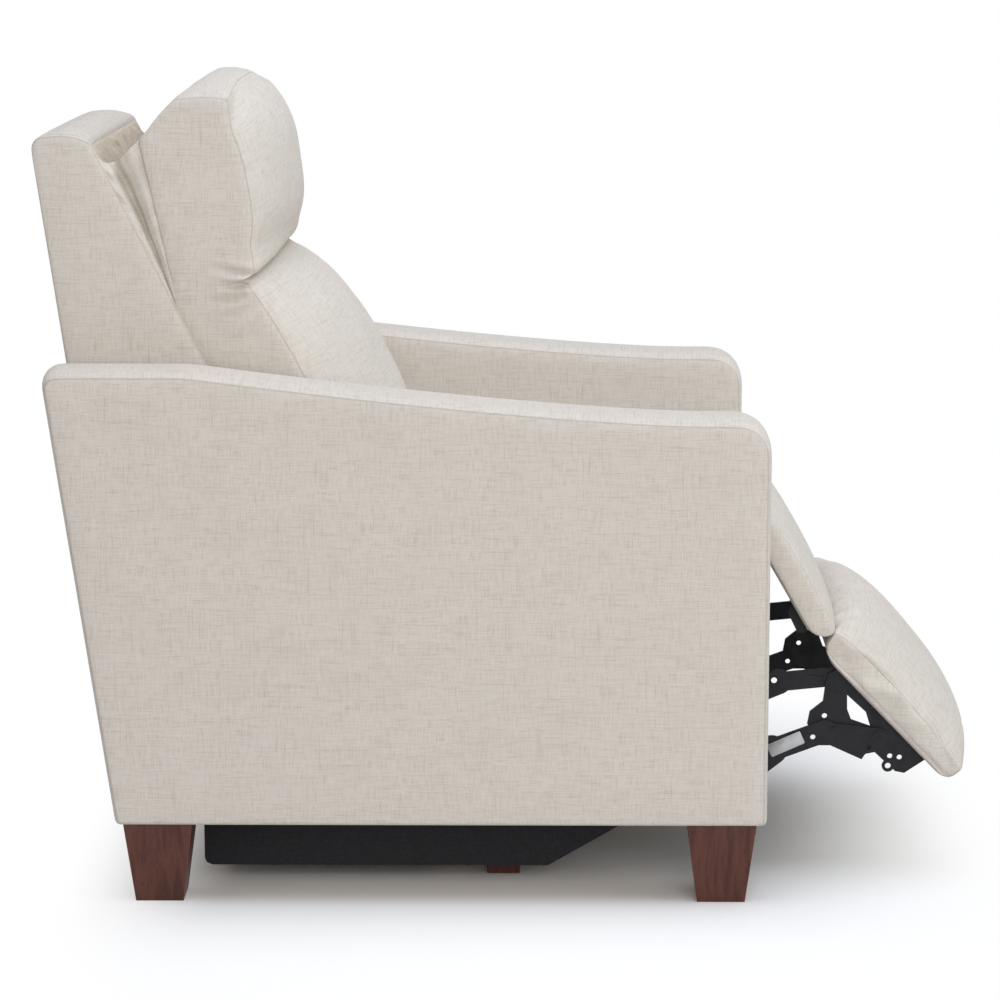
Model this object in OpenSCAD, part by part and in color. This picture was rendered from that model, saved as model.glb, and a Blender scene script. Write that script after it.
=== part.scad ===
// Power recliner with a tilting headrest, drawn half open.
// Millimetres. +Z is up, the sitter faces -Y, the sitter's left is +X. The floor is Z = 0.
// Side shapes are drawn as [y, z] and carried across in X. Right-hand pieces are mirror images.

/* [Overall] */
// Width over both arms
overall_w = 762; // [700:1:900]
// Thickness of one arm
arm_w = 115; // [90:1:150]
// Gap between an arm and what moves or sits beside it
side_gap = 4; // [3:0.5:8]
// Height of the legs
leg_h = 105; // [80:1:130]
// Gap between a soft piece and its neighbour
soft_gap = 0.3; // [0.2:0.1:0.6]
// How far the middle of the chair's depth lies behind the reference point
middle_y = 9.5; // [0:0.5:30]

/* [Arms] */
// Distance from the reference point to the front of the arms
arm_front = 323; // [300:1:360]
// Depth of an arm along its bottom edge
arm_depth = 840; // [800:1:900]
// Lean of the rear edge, in degrees
arm_rake = 8.1; // [4:0.1:10]
// Height of the top seam at the front
arm_low_z = 631; // [610:1:680]
// Height of the top seam at the rear
arm_high_z = 692; // [670:1:740]
// Where the slope of the top starts, ahead of the reference point
slope_front = 232; // [150:1:260]
// Where the slope of the top ends, behind the reference point
slope_rear = 420; // [300:1:480]
// How late the slope rises
slope_power = 1.4; // [1:0.1:2]
// Radius of the front top corner
arm_corner_r = 42; // [20:1:60]
// Radius of the rear top corner
arm_rear_r = 10; // [6:1:20]
// How far the boxing between the side seams swells
arm_crown = 6; // [0:0.5:10]
// How far the side faces are drawn in at the seams
arm_edge = 4; // [1:0.5:8]
// Padding over the arm's wooden frame
arm_padding = 24; // [15:1:30]
// Padding on each side face of the frame
arm_side_padding = 14; // [10:1:20]
// Depth of the frame's rails and posts
arm_rail = 42; // [30:1:60]

/* [Legs] */
// Width of a leg at its top
leg_top = 89; // [70:1:100]
// Width of a leg at the floor
leg_foot = 62; // [40:1:70]
// Setback of a leg from the outer side of the arm
leg_side_set = 10; // [4:1:14]
// Setback of the front legs from the arm's front
leg_front_set = 12; // [4:1:40]
// Setback of the rear legs from the arm's rear
leg_rear_set = 9; // [4:1:40]
// Radius of a leg bolt
leg_bolt_r = 4; // [3:0.5:6]
// Length of a leg bolt
leg_bolt_l = 80; // [50:1:90]

/* [Base] */
// Thickness of a base board
board_t = 23.4; // [18:0.1:30]
// Height of the base boards' lower edge
board_z = 22; // [18:1:30]
// Height of the base boards' upper edge
board_top_z = 188; // [160:1:190]
// Rear end of the base boards, behind the recline hinge
board_rear_set = 32; // [20:1:45]
// Where the front chamfer leaves the lower edge, ahead of the reference point
board_chamfer_y = 42; // [20:1:60]
// Slope of the front chamfer, in degrees
board_chamfer = 30; // [20:1:45]
// Length of the chamfer along the depth
board_chamfer_l = 172; // [120:1:200]
// Width of a wooden cross rail
cross_w = 28; // [20:1:36]
// Height of a wooden cross rail
cross_h = 58; // [40:1:70]
// Middle cross rail, distance behind the reference point
cross_mid_y = 90; // [85:1:140]
// Width of a support foot
foot_w = 36; // [25:1:40]
// Length of a support foot
foot_l = 44; // [30:1:60]
// Middle of the support feet, behind the reference point
foot_y = 17; // [5:1:40]
// Gap between a base board and a support foot
foot_set = 16.3; // [6:0.1:40]

/* [Seat] */
// Height of the seat's deck
deck_z = 408.6; // [405:0.1:420]
// Thickness of the seat's deck
deck_t = 6.1; // [4:0.1:8]
// Thickness of the seat cushion at its sides
seat_side_t = 90; // [70:1:110]
// Thickness of the seat cushion in the middle
seat_mid_t = 103; // [80:1:130]
// Depth of the seat cushion
seat_depth = 560; // [500:1:562]
// Height of the seat rails
seat_rail_h = 36; // [25:1:40]
// Width of the seat rails
seat_rail_w = 32; // [25:1:36]
// Thickness of a seat spring
spring_t = 3; // [2.5:0.5:3]
// Number of seat springs
spring_n = 5; // [3:1:6]

/* [Steel parts] */
// Thickness of the side plates
side_plate_t = 4; // [3:0.5:5]
// Thickness of a link
link_t = 3.5; // [3:0.1:3.6]
// Gap between neighbouring links
link_gap = 0.5; // [0.3:0.1:0.6]
// Running clearance of a pin in its hole
run_gap = 0.06; // [0.02:0.01:0.09]
// Radius of a linkage pin
pin_r = 5; // [4:0.5:6]
// Radius of a pin's head
pin_head_r = 8.5; // [7:0.5:10]
// Thickness of a pin's head
pin_head_t = 2.4; // [1.5:0.1:2.8]
// Width of the rear link
rear_link_w = 36; // [30:1:38]
// Width of the lower link
lower_link_w = 40; // [30:1:42]
// Width of the upper link
upper_link_w = 34; // [26:1:34]
// Radius of the drive shaft
shaft_r = 9.5; // [8:0.5:11]

/* [Footrest motion] */
// Drive shaft, ahead of the reference point
drive_y = 45; // [40:1:50]
// Height of the drive shaft
drive_z = 395; // [390:1:396]
// Pivot of rear and lower link, ahead of the reference point
knee_y = 251; // [246:1:256]
// Height of the pivot of rear and lower link
knee_z = 104; // [100:1:108]
// Pivot of lower link and footrest, ahead of the reference point
tip_y = 480; // [474:1:486]
// Height of the pivot of lower link and footrest
tip_z = 190; // [186:1:194]
// Bend of the lower link, ahead of the reference point
elbow_y = 409; // [404:1:412]
// Height of the lower link's bend
elbow_z = 198; // [192:1:199]

/* [Footrest pad] */
// Slope of the footrest as drawn, in degrees below level
pad_slope = 46; // [40:1:50]
// Length of the footrest pad at its sides
pad_len = 253; // [230:1:260]
// How much longer the pad is in the middle
pad_len_swell = 4; // [0:1:10]
// Thickness of the pad at its sides
pad_side_t = 44; // [36:1:50]
// Thickness of the pad in the middle
pad_mid_t = 90; // [70:1:94]
// Distance from the pad's upper end to its pivot, along the board
pad_pivot_s = 150; // [140:1:160]
// Distance from the board's underside down to the pivot
pad_pivot_t = 24; // [22:1:28]
// Thickness of the footrest board
pad_board_t = 12; // [9:1:15]
// Distance from the pad's upper end to the board
pad_board_s = 44; // [42:1:60]
// Length of the footrest board
pad_board_l = 180; // [140:1:180]
// Setback of the boards from the sides of their pads
pad_board_set = 26; // [15:1:30]

/* [Leg pad] */
// Hinge of the leg pad, ahead of the reference point
leg_hinge_y = 312; // [311:1:318]
// Height of the leg pad's hinge
leg_hinge_z = 485; // [478:1:488]
// Radius of the pad's rounded upper end
leg_hinge_r = 12.5; // [10:0.5:13]
// Slope of the leg pad as drawn, in degrees below level
leg_pad_slope = 60; // [56:1:62]
// Gap between the leg pad's rounded end and the seat cushion
leg_pad_room = 2.6; // [2.4:0.1:6]
// Length of the leg pad
leg_pad_len = 187; // [170:1:190]
// Thickness of the leg pad at its sides
leg_pad_side_t = 30; // [26:1:36]
// Thickness of the leg pad in the middle
leg_pad_mid_t = 50; // [40:1:52]
// Thickness of the leg pad's board
leg_board_t = 9; // [6:1:12]

/* [Back] */
// Recline hinge, behind the seat cushion
back_hinge_set = 118; // [112:1:126]
// Height of the recline hinge
back_hinge_z = 430; // [428:1:436]
// Lean of the plane that carries the back cushion, in degrees
back_lean = 27; // [24:0.5:30]
// Front edge of the back at its top, behind the recline hinge
back_front_set = 165; // [159:1:175]
// Height of that front edge
back_front_z = 976; // [950:1:990]
// Height of the back's upper rear edge
back_top_z = 986; // [970:1:1000]
// Lean of the outer back, in degrees
back_rake = 7.9; // [6:0.1:9]
// Outer back at the height of the arms, behind the recline hinge
back_rear_set = 203; // [199:1:209]
// Height of the outer back's lower edge
back_low_z = 245; // [243:1:262]
// Height of the side panels' lower edge
wing_low_z = 450; // [446:1:470]
// Thickness of the back's padded panels
panel_t = 14; // [10:1:16]
// Radius of the back's upper rear corner
back_corner_r = 18; // [8:1:24]
// Depth of the back posts
post_d = 44; // [30:1:46]
// Width of the back posts
post_w = 36; // [28:1:38]
// Thickness of the back webbing
web_t = 2; // [1:0.5:3]
// Number of webbing bands
web_n = 4; // [3:1:5]

/* [Back cushion] */
// Height of the back cushion at its sides
lumbar_h = 259.5; // [230:0.5:260]
// How much higher the cushion is in the middle
lumbar_swell = 26; // [0:1:28]
// Depth of the cushion at its sides
lumbar_side_t = 108; // [80:1:120]
// Depth of the cushion in the middle
lumbar_mid_t = 214; // [160:1:220]

/* [Headrest] */
// Headrest hinge, behind the recline hinge
head_hinge_set = 58; // [55:1:61]
// Height of the headrest hinge
head_hinge_z = 781; // [778:1:786]
// Lean of the headrest's rear face as drawn, in degrees
head_lean = 12.4; // [11:0.1:16]
// Height of the headrest at its sides
head_h = 244; // [230:1:264]
// How much higher the headrest is in the middle
head_swell = 20; // [0:1:24]
// Depth of the headrest at its sides
head_side_t = 122; // [100:1:130]
// Depth of the headrest in the middle
head_mid_t = 172; // [140:1:184]
// Rise of the underside of the headrest towards its front, in degrees
head_under = 9; // [7:0.5:12]
// Thickness of the headrest board
head_board_t = 10; // [8:1:12]

/* [Drives] */
// Radius of the footrest crank
foot_crank_r = 60; // [56:1:64]
// Radius of the recline crank
back_crank_r = 80; // [79:1:84]
// Radius of the headrest crank
head_crank_r = 45; // [40:1:50]
// Radius of an actuator rod
rod_r = 9; // [7:0.5:10]
// Radius of an actuator housing
drive_r = 19; // [16:0.5:21]
// Side offset of the two seat actuators from the middle
drive_x = 70; // [60:1:90]

/* [Controls] */
// Width of the control panel
panel_w = 112; // [100:1:140]
// Height of the control panel
panel_h = 38; // [32:1:50]
// Middle of the control panel, ahead of the reference point
panel_y = 140; // [100:1:180]
// Height of the control panel's middle
panel_z = 568; // [560:1:580]
// Radius of a button
button_r = 8; // [6:0.5:9]
// Distance between neighbouring buttons
button_pitch = 24; // [22:1:26]
// Press of a button
button_travel = 1.2; // [0.8:0.1:1.6]
// Radius of the power inlet's socket
inlet_r = 5.5; // [4:0.5:7]

/* [Hidden] */

linen = [0.82, 0.78, 0.73];
walnut = [0.36, 0.22, 0.19];
black_steel = [0.15, 0.15, 0.17];
black_cloth = [0.1, 0.1, 0.11];
pale_wood = [0.75, 0.62, 0.45];
grey_felt = [0.5, 0.5, 0.5];
bright_steel = [0.7, 0.7, 0.72];

arc_steps = 8;
fine = 48;

// Across the width
half_w = overall_w / 2;
arm_in_x = half_w - arm_w;
inner_x = arm_in_x - side_gap;
arm_frame_w = arm_w - 2 * arm_side_padding;
board_x = arm_in_x - soft_gap - board_t;
plate_x = board_x - soft_gap - side_plate_t;
link_pitch = link_t + link_gap;
rear_link_x = plate_x - link_pitch;
foot_x = board_x - foot_set - foot_w;
lower_link_x = plate_x - 2 * link_pitch;
pad_bracket_x = plate_x - 3 * link_pitch;
upper_link_x = plate_x - 4 * link_pitch;
seat_rail_out = upper_link_x - pin_head_t - 4;
seat_rail_in = seat_rail_out - seat_rail_w;
leg_bracket_x = upper_link_x - pin_head_t - 1.6 - link_t;
ear_t = 3;
ear_w = 4.5;
ear_x = seat_rail_out + soft_gap;
leg_plate_x = ear_x - link_gap - link_t;

// Linkage points, as [y, z]
drive = [-drive_y, drive_z];
knee = [-knee_y, knee_z];
elbow = [-elbow_y, elbow_z];
bend = knee + [-88, 68];
link_hole_r = 3.5;
tip = [-tip_y, tip_z];
cross_share = 0.683;
cross_point = drive + cross_share * (knee - drive);

// A pad's own plane: its origin, the way along it and the way out of it
function plane(slope, pivot, s, t) = let(
    along = [-cos(slope), -sin(slope)],
    out = [-sin(slope), cos(slope)]
) [pivot - s * along - t * out, along, out];
function at(p, s, t) = p[0] + s * p[1] + t * p[2];

pad = plane(pad_slope, tip, pad_pivot_s, -pad_pivot_t);
leg_hinge = [-leg_hinge_y, leg_hinge_z];
leg_plane = plane(leg_pad_slope, leg_hinge, leg_hinge_r, leg_hinge_r);
upper_pin = at(pad, pad_board_s + 2, -pin_head_r - 8.5);
seat_front = -leg_hinge_y + leg_hinge_r + leg_pad_room;
seat_z = deck_z + deck_t + soft_gap;
seat = [[seat_front, seat_z], [1, 0], [0, 1]];
seat_rear = seat_front + seat_depth;
back_hinge_y = seat_rear + back_hinge_set;
back_front_y = back_hinge_y + back_front_set;
back_rear_y = back_hinge_y + back_rear_set;
head_hinge_y = back_hinge_y + head_hinge_set;
board_rear = back_hinge_y + board_rear_set;

// The back, seen from the side
back_hinge = [back_hinge_y, back_hinge_z];
function wing_front(z) = back_front_y - (back_front_z - z) * tan(back_lean);
function outer_back(z) = back_rear_y + (z - arm_high_z) * tan(back_rake);
lumbar_z = seat_z + seat_mid_t + 2;
lumbar = [[wing_front(lumbar_z) - soft_gap, lumbar_z], [tan(back_lean), 1], [-1, 0]];
head_hinge = [head_hinge_y, head_hinge_z];
head = [head_hinge + [0, soft_gap], [tan(head_lean), 1], [-1, tan(head_under)]];
post_x = rear_link_x - 4;

// Cranks at rest, as [y, z]
foot_crank = drive + [0, -foot_crank_r];
back_half_swing = 17.5;
back_crank = back_hinge + back_crank_r * [sin(back_half_swing), -cos(back_half_swing)];
head_crank_lift = 4;
head_crank = head_hinge + head_crank_r * [cos(head_crank_lift), -sin(head_crank_lift)];
crank_t = 6;
crank_w = 22;
rod_start = 18;
crank_gap = 0.6;
slot_play = 1.6;
foot_axis_z = drive_z - foot_crank_r;
back_axis_z = back_hinge_z - back_crank_r + 1.6;
head_axis_y = head_hinge_y + head_crank_r - 0.4;

// Arms, seen from the side
arm_rear_foot = -arm_front + arm_depth;
function rear_line(z) = arm_rear_foot + (z - leg_h) * tan(arm_rake);
function arm_top(y) = let(
    share = (y + slope_front) / (slope_rear + slope_front)
) arm_low_z + (arm_high_z - arm_low_z) * pow(min(1, max(0, share)), slope_power);
function arm_outline(inset, lift = 0) = let(
    low = leg_h + lift,
    front = -arm_front + inset,
    r = max(arm_corner_r - inset, 6),
    rr = max(arm_rear_r - inset, 2),
    high = arm_high_z - inset,
    rear = rear_line(high) - inset,
    corner_y = front + r,
    corner_z = arm_top(corner_y) - inset - r,
    steps = 16
) concat(
    [[front, low], [rear_line(low) - inset, low]],
    [for (a = [0 : 30 : 90]) [rear - rr + rr * cos(a), high - rr + rr * sin(a)]],
    [for (i = [1 : steps - 1]) let(y = rear - rr + (corner_y - rear + rr) * i / steps) [y, arm_top(y) - inset]],
    [for (i = [0 : arc_steps]) let(a = 90 + 90 * i / arc_steps) [corner_y + r * cos(a), corner_z + r * sin(a)]]
);

// Outlines that run anticlockwise, moved outwards along their normals
function unit(v) = v / norm(v);
function edge_normal(a, b) = let(d = unit(b - a)) [d[1], -d[0]];
function swell(p, e) = let(n = len(p)) [for (i = [0 : n - 1])
    p[i] + e * unit(edge_normal(p[(i + n - 1) % n], p[i]) + edge_normal(p[i], p[(i + 1) % n]))];
function above(p, low) = [for (q = p) [q[0], max(q[1], low)]];
function mean(p) = [for (k = [0, 1]) [for (q = p) q[k]] * [for (q = p) 1] / len(p)];
function mix(a, b, k) = a + (b - a) * k;
function lift_ring(x, p) = [for (q = p) [x, q[0], q[1]]];

// One section of a cushion: flat underside, rounded ends, swollen top
// Sizes are [length, top, low end round, low end height, high end round, high end height, taper, slope]
// With slope 0 the high end is a quarter ellipse, otherwise it climbs as that power
function cushion_ring(c) = let(
    l = c[0], top = c[1], lr = c[2], lh = c[3], hr = c[4], hh = c[5], taper = c[6], slope = c[7],
    q = 4, m = 13
) concat(
    [for (i = [0 : 2]) [mix(lr, l - hr, i / 2), 0]],
    [for (i = [1 : q]) let(a = 90 * i / q) slope == 0
        ? [l - hr + hr * sin(a), hh - hh * cos(a)]
        : [l - hr + hr * pow(i / q, slope), hh * i / q]],
    [for (i = [1 : m - 1]) let(
        v = (1 + cos(180 * i / m)) / 2,
        base = mix(lh, hh, v),
        full = pow(1 - pow(abs(2 * v - 1), 2.8), 0.42)
    ) [l * v, base + (top * (1 - taper * (v - 0.5)) - base) * full]],
    [for (i = [0 : q - 1]) let(a = 90 * i / q) [lr - lr * cos(a), lh - lh * sin(a)]]
);
function on_plane(p, ring) = let(
    placed = [for (q = ring) at(p, q[0], q[1])],
    turn = p[1][0] * p[2][1] - p[1][1] * p[2][0]
) turn > 0 ? placed : [for (i = [len(placed) - 1 : -1 : 0]) placed[i]];

// A closed skin over rings of equal count, each ring at its own x, with a domed cap at each end
module skin(rings, bulge) {
    n = len(rings[0]);
    k = len(rings);
    first = mean([for (q = rings[0]) [q[1], q[2]]]);
    last = mean([for (q = rings[k - 1]) [q[1], q[2]]]);
    points = concat(
        [for (r = rings) for (q = r) q],
        [[rings[0][0][0] - bulge, first[0], first[1]], [rings[k - 1][0][0] + bulge, last[0], last[1]]]
    );
    sides = [for (j = [0 : k - 2]) for (i = [0 : n - 1]) let(
        a = j * n + i,
        b = j * n + (i + 1) % n,
        c = b + n,
        d = a + n
    ) each [[a, d, c], [a, c, b]]];
    caps = [for (i = [0 : n - 1]) let(b = (i + 1) % n) each [
        [k * n, i, b],
        [k * n + 1, (k - 1) * n + b, (k - 1) * n + i]
    ]];
    polyhedron(points, concat(sides, caps));
}

// A cushion across the seat: drawn in at its side seams, crowned in the middle
module cushion(p, half, side, middle, draw_in) {
    bulge = 1.5;
    wall = half - bulge;
    seam = wall - draw_in;
    shares = [1, 0.94, 0.84, 0.68, 0.46, 0.2];
    function section(f) = on_plane(p, cushion_ring(side + (middle - side) * pow(1 - pow(f, 2.4), 0.75)));
    edge = swell(section(1), -draw_in);
    skin(concat(
        [lift_ring(-wall, edge)],
        [for (f = shares) lift_ring(-seam * f, section(f))],
        [for (i = [len(shares) - 1 : -1 : 0]) lift_ring(seam * shares[i], section(shares[i]))],
        [lift_ring(wall, edge)]
    ), bulge);
}

// A padded slab from x0 to x1: faces drawn in, boxing swollen between the seams
module padded_slab(outline, x0, x1, draw_in, crown, low) {
    w = x1 - x0;
    steps = [[0, -draw_in], [draw_in * 0.3, -draw_in * 0.3], [draw_in, 0], [w * 0.3, crown * 0.8],
        [w * 0.5, crown], [w * 0.7, crown * 0.8], [w - draw_in, 0], [w - draw_in * 0.3, -draw_in * 0.3],
        [w, -draw_in]];
    skin([for (s = steps) lift_ring(x0 + s[0], above(swell(outline, s[1]), low))], 0);
}

// Shapes drawn from the side
module across(x, t) {
    translate([x, 0, 0]) rotate([90, 0, 90]) linear_extrude(t) children();
}
module rod_x(x, t, p, r) {
    translate([x, p[0], p[1]]) rotate([0, 90, 0]) cylinder(h = t, r = r, $fn = fine);
}
module bar_2d(a, b, w) {
    d = b - a;
    straight = w - 0.1;
    translate(a) circle(d = w, $fn = fine);
    translate(b) circle(d = w, $fn = fine);
    translate(a) rotate(atan2(d[1], d[0])) translate([0, -straight / 2]) square([norm(d), straight]);
}
module strip_2d(p, s0, s1, t0, t1) {
    polygon([at(p, s0, t0), at(p, s1, t0), at(p, s1, t1), at(p, s0, t1)]);
}
// Left pieces are drawn, right pieces are their mirror images
module sided(side) {
    if (side > 0) children();
    else mirror([1, 0, 0]) children();
}
// A pin that stands inwards from a plate at x, through the next plate, with its head beyond
module stud(x, p) {
    reach = link_pitch + link_gap / 2;
    rod_x(x - reach, reach, p, pin_r);
    rod_x(x - reach - pin_head_t, pin_head_t, p, pin_head_r);
}
module stud_hole(x, t, p) {
    rod_x(x - 1, t + 2, p, pin_r + run_gap);
}

module placed() {
    translate([0, -middle_y, 0]) children();
}

// Arms and legs
leg_x = half_w - leg_side_set - leg_top / 2;
leg_front_y = -arm_front + leg_front_set + leg_top / 2;
leg_rear_y = arm_rear_foot - leg_rear_set - leg_top / 2;

module arm(side) {
    color(linen) difference() {
        sided(side) padded_slab(arm_outline(0), arm_in_x, half_w, arm_edge, arm_crown, leg_h);
        sided(side) translate([arm_in_x + arm_side_padding - soft_gap, 0, 0])
            arm_frame_solid(arm_frame_w + 2 * soft_gap, soft_gap);
        if (side < 0) control_pocket();
    }
}
// The frame's ring, made larger by grow for the pocket that holds it
module arm_frame_solid(w, grow) {
    across(0, w) difference() {
        polygon(above(swell(arm_outline(arm_padding), grow), leg_h - grow));
        polygon(swell(arm_outline(arm_padding + arm_rail, arm_rail), -grow));
    }
}
module arm_frame(side) {
    color(pale_wood) sided(side) difference() {
        translate([arm_in_x + arm_side_padding, 0, 0]) arm_frame_solid(arm_frame_w, 0);
        for (y = [leg_front_y, leg_rear_y]) leg_bolt_hole(y);
    }
}
module leg_bolt_hole(y) {
    translate([leg_x, y, leg_h - leg_bolt_l / 2 - soft_gap])
        cylinder(h = leg_bolt_l + 2 * soft_gap, r = leg_bolt_r + soft_gap, $fn = fine);
}
module leg_profile() {
    polygon([[-leg_foot / 2, 0], [leg_foot / 2, 0], [leg_top / 2, leg_h], [-leg_top / 2, leg_h]]);
}
module leg(side, y) {
    color(walnut) sided(side) difference() {
        translate([leg_x, y, 0]) intersection() {
            rotate([90, 0, 0]) linear_extrude(leg_top, center = true) leg_profile();
            rotate([90, 0, 90]) linear_extrude(leg_top, center = true) leg_profile();
        }
        leg_bolt_hole(y);
    }
}
module leg_bolts() {
    color(bright_steel) for (side = [-1, 1]) for (y = [leg_front_y, leg_rear_y])
        sided(side) translate([leg_x, y, leg_h - leg_bolt_l / 2])
            cylinder(h = leg_bolt_l, r = leg_bolt_r, $fn = fine);
}

// Base
module base_board(side) {
    color(black_cloth) sided(side) across(board_x, board_t) polygon([
        [board_rear - 10, board_z],
        [board_rear - 3, board_z + 3],
        [board_rear, board_z + 10],
        [board_rear, board_top_z],
        [-board_chamfer_y - board_chamfer_l, board_top_z],
        [-board_chamfer_y - board_chamfer_l, board_z + board_chamfer_l * tan(board_chamfer)],
        [-board_chamfer_y, board_z]
    ]);
}
module base_cross_rails() {
    runner_front = foot_y - foot_l / 2 - 12;
    color(pale_wood) {
        translate([-board_x + soft_gap, board_rear - cross_w, board_z])
            cube([2 * (board_x - soft_gap), cross_w, cross_h]);
        translate([-board_x + soft_gap, cross_mid_y - cross_w / 2, board_z])
            cube([2 * (board_x - soft_gap), cross_w, cross_h]);
        for (side = [-1, 1]) sided(side)
            translate([foot_x, runner_front, board_z])
                cube([foot_w, cross_mid_y - cross_w / 2 - runner_front, cross_h / 2]);
    }
}
module support_feet() {
    color(walnut) for (side = [-1, 1]) sided(side)
        translate([foot_x, foot_y - foot_l / 2, 0]) cube([foot_w, foot_l, board_z]);
}

// Side plates carry the linkage, the seat and the back
plate_low_z = board_z + cross_h + 12;
plate_front = drive_y + 60;
module side_plate(side) {
    top = deck_z + deck_t - 1;
    foot_rear = board_rear - 40;
    color(black_steel) sided(side) {
        difference() {
            across(plate_x, side_plate_t) difference() {
                union() {
                    polygon([
                        [foot_rear, plate_low_z],
                        [foot_rear, back_hinge_z],
                        [back_hinge_y - 60, top],
                        [-plate_front, top],
                        [-plate_front, drive_z - 60],
                        [-drive_y + 90, plate_low_z]
                    ]);
                    translate(back_hinge) circle(r = 22, $fn = fine);
                }
                polygon([
                    [foot_rear - 60, plate_low_z + 50],
                    [foot_rear - 60, top - 110],
                    [cross_mid_y + 60, top - 110],
                    [cross_mid_y + 60, plate_low_z + 50]
                ]);
            }
            rod_x(plate_x - 1, side_plate_t + 2, drive, shaft_r + run_gap);
        }
        stud(plate_x, back_hinge);
    }
}

// Seat
rail_top = deck_z - spring_t - 2 * soft_gap;
seat_rail_z = rail_top - seat_rail_h;
front_rail_y = seat_front + 6;
rear_rail_y = seat_rear + 26;
module seat_brackets() {
    inner = seat_rail_out;
    block = 34;
    color(black_steel) for (side = [-1, 1]) for (y = [cross_mid_y + 50, rear_rail_y - block + 5])
        sided(side) translate([inner, y, seat_rail_z + 4])
            cube([plate_x - inner, block, seat_rail_h - 8]);
    color(black_steel) for (side = [-1, 1]) sided(side) {
        across(ear_x, ear_t) leg_ear_2d();
        rod_x(leg_plate_x, ear_x - leg_plate_x + 1, leg_hinge, pin_r);
    }
}
// The ear at each end of the front rail that carries the leg pad's hinge pin
module leg_ear_2d() {
    rear = seat_front - soft_gap;
    polygon([
        [rear - ear_w, seat_rail_z + 3],
        [front_rail_y + seat_rail_w - 4, seat_rail_z + 3],
        [front_rail_y + seat_rail_w - 4, rail_top - 3],
        [rear, rail_top - 3],
        [rear, leg_hinge_z - 6],
        leg_hinge + [4, 6],
        leg_hinge,
        leg_hinge + [2, -7.5],
        [rear - ear_w, leg_hinge_z - 20]
    ]);
    translate(leg_hinge) circle(r = 8, $fn = fine);
}
module seat_rail_front() {
    color(pale_wood) translate([-seat_rail_out, front_rail_y, seat_rail_z])
        cube([2 * seat_rail_out, seat_rail_w, seat_rail_h]);
}
module seat_rail_rear() {
    color(pale_wood) translate([-seat_rail_out, rear_rail_y, seat_rail_z])
        cube([2 * seat_rail_out, seat_rail_w, seat_rail_h]);
}
module seat_side_rails() {
    start = front_rail_y + seat_rail_w;
    color(pale_wood) for (side = [-1, 1]) sided(side) difference() {
        translate([seat_rail_in, start, seat_rail_z]) cube([seat_rail_w, rear_rail_y - start, seat_rail_h]);
        rod_x(seat_rail_in - 1, seat_rail_w + 2, drive, shaft_r + 2);
    }
}
module seat_springs() {
    start = front_rail_y + 6;
    end = rear_rail_y + seat_rail_w - 6;
    waves = 14;
    step = (end - start) / waves;
    reach = 22;
    span = 2 * seat_rail_in - 2 * reach - 16;
    color(bright_steel) translate([0, 0, rail_top + soft_gap]) linear_extrude(spring_t)
        for (k = [0 : spring_n - 1]) translate([-span / 2 + span * k / (spring_n - 1), 0])
            for (i = [0 : waves - 1]) {
                bar_2d([0, start + i * step], [0, start + (i + 1) * step], spring_t);
                if (i > 0) bar_2d([i % 2 == 0 ? -reach : 0, start + i * step],
                    [i % 2 == 0 ? 0 : reach, start + i * step], spring_t);
            }
}
module seat_deck() {
    color(grey_felt) translate([-seat_rail_out, front_rail_y, deck_z])
        cube([2 * seat_rail_out, rear_rail_y + seat_rail_w - front_rail_y, deck_t]);
}
module seat_cushion() {
    side = [seat_depth, seat_side_t, 18, 45, 22, 45, 0, 0];
    middle = [seat_depth, seat_mid_t, 18, 45, 22, 45, 0, 0];
    color(linen) cushion(seat, inner_x, side, middle, 4);
}
module rear_panel() {
    t = 18;
    set = 8;
    top = back_low_z - 10;
    y0 = rear_line(leg_h) - set;
    y1 = rear_line(top) - set;
    color(linen) across(-arm_in_x + soft_gap, 2 * (arm_in_x - soft_gap))
        polygon([[y0 - t, leg_h], [y0, leg_h], [y1, top - 4], [y1 - 4, top], [y1 - t, top]]);
}

// Controls in the sitter's right arm
button_ys = [for (k = [-1.5 : 1 : 1.5]) -panel_y + k * button_pitch];
housing_t = 11;
lip_t = 3;
module control_pocket() {
    translate([-arm_in_x - housing_t - soft_gap, -panel_y - panel_w / 2 + 4, panel_z - panel_h / 2 + 4])
        cube([housing_t + soft_gap + 1, panel_w - 8, panel_h - 8]);
}
module control_panel() {
    inset = 4 + soft_gap;
    color(black_steel) difference() {
        union() {
            translate([-arm_in_x, -panel_y - panel_w / 2, panel_z - panel_h / 2])
                cube([lip_t, panel_w, panel_h]);
            translate([-arm_in_x - housing_t, -panel_y - panel_w / 2 + inset, panel_z - panel_h / 2 + inset])
                cube([housing_t + 1, panel_w - 2 * inset, panel_h - 2 * inset]);
        }
        for (y = button_ys) rod_x(-arm_in_x - housing_t + 3, housing_t + lip_t, [y, panel_z], button_r + 0.15);
    }
}
module button(k) {
    floor_x = -arm_in_x - housing_t + 3;
    color(grey_felt) rod_x(floor_x + button_travel + 0.2, -floor_x - button_travel - 0.2 - arm_in_x + lip_t + 2,
        [button_ys[k], panel_z], button_r);
}
module power_inlet() {
    w = 26;
    d = 20;
    color(black_steel) translate([foot_x - 60, board_rear, board_z + cross_h / 2]) difference() {
        translate([-w / 2, 0, -w / 2]) cube([w, d, w]);
        translate([0, 4, 0]) rotate([-90, 0, 0]) cylinder(h = d, r = inlet_r, $fn = fine);
    }
}

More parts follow.
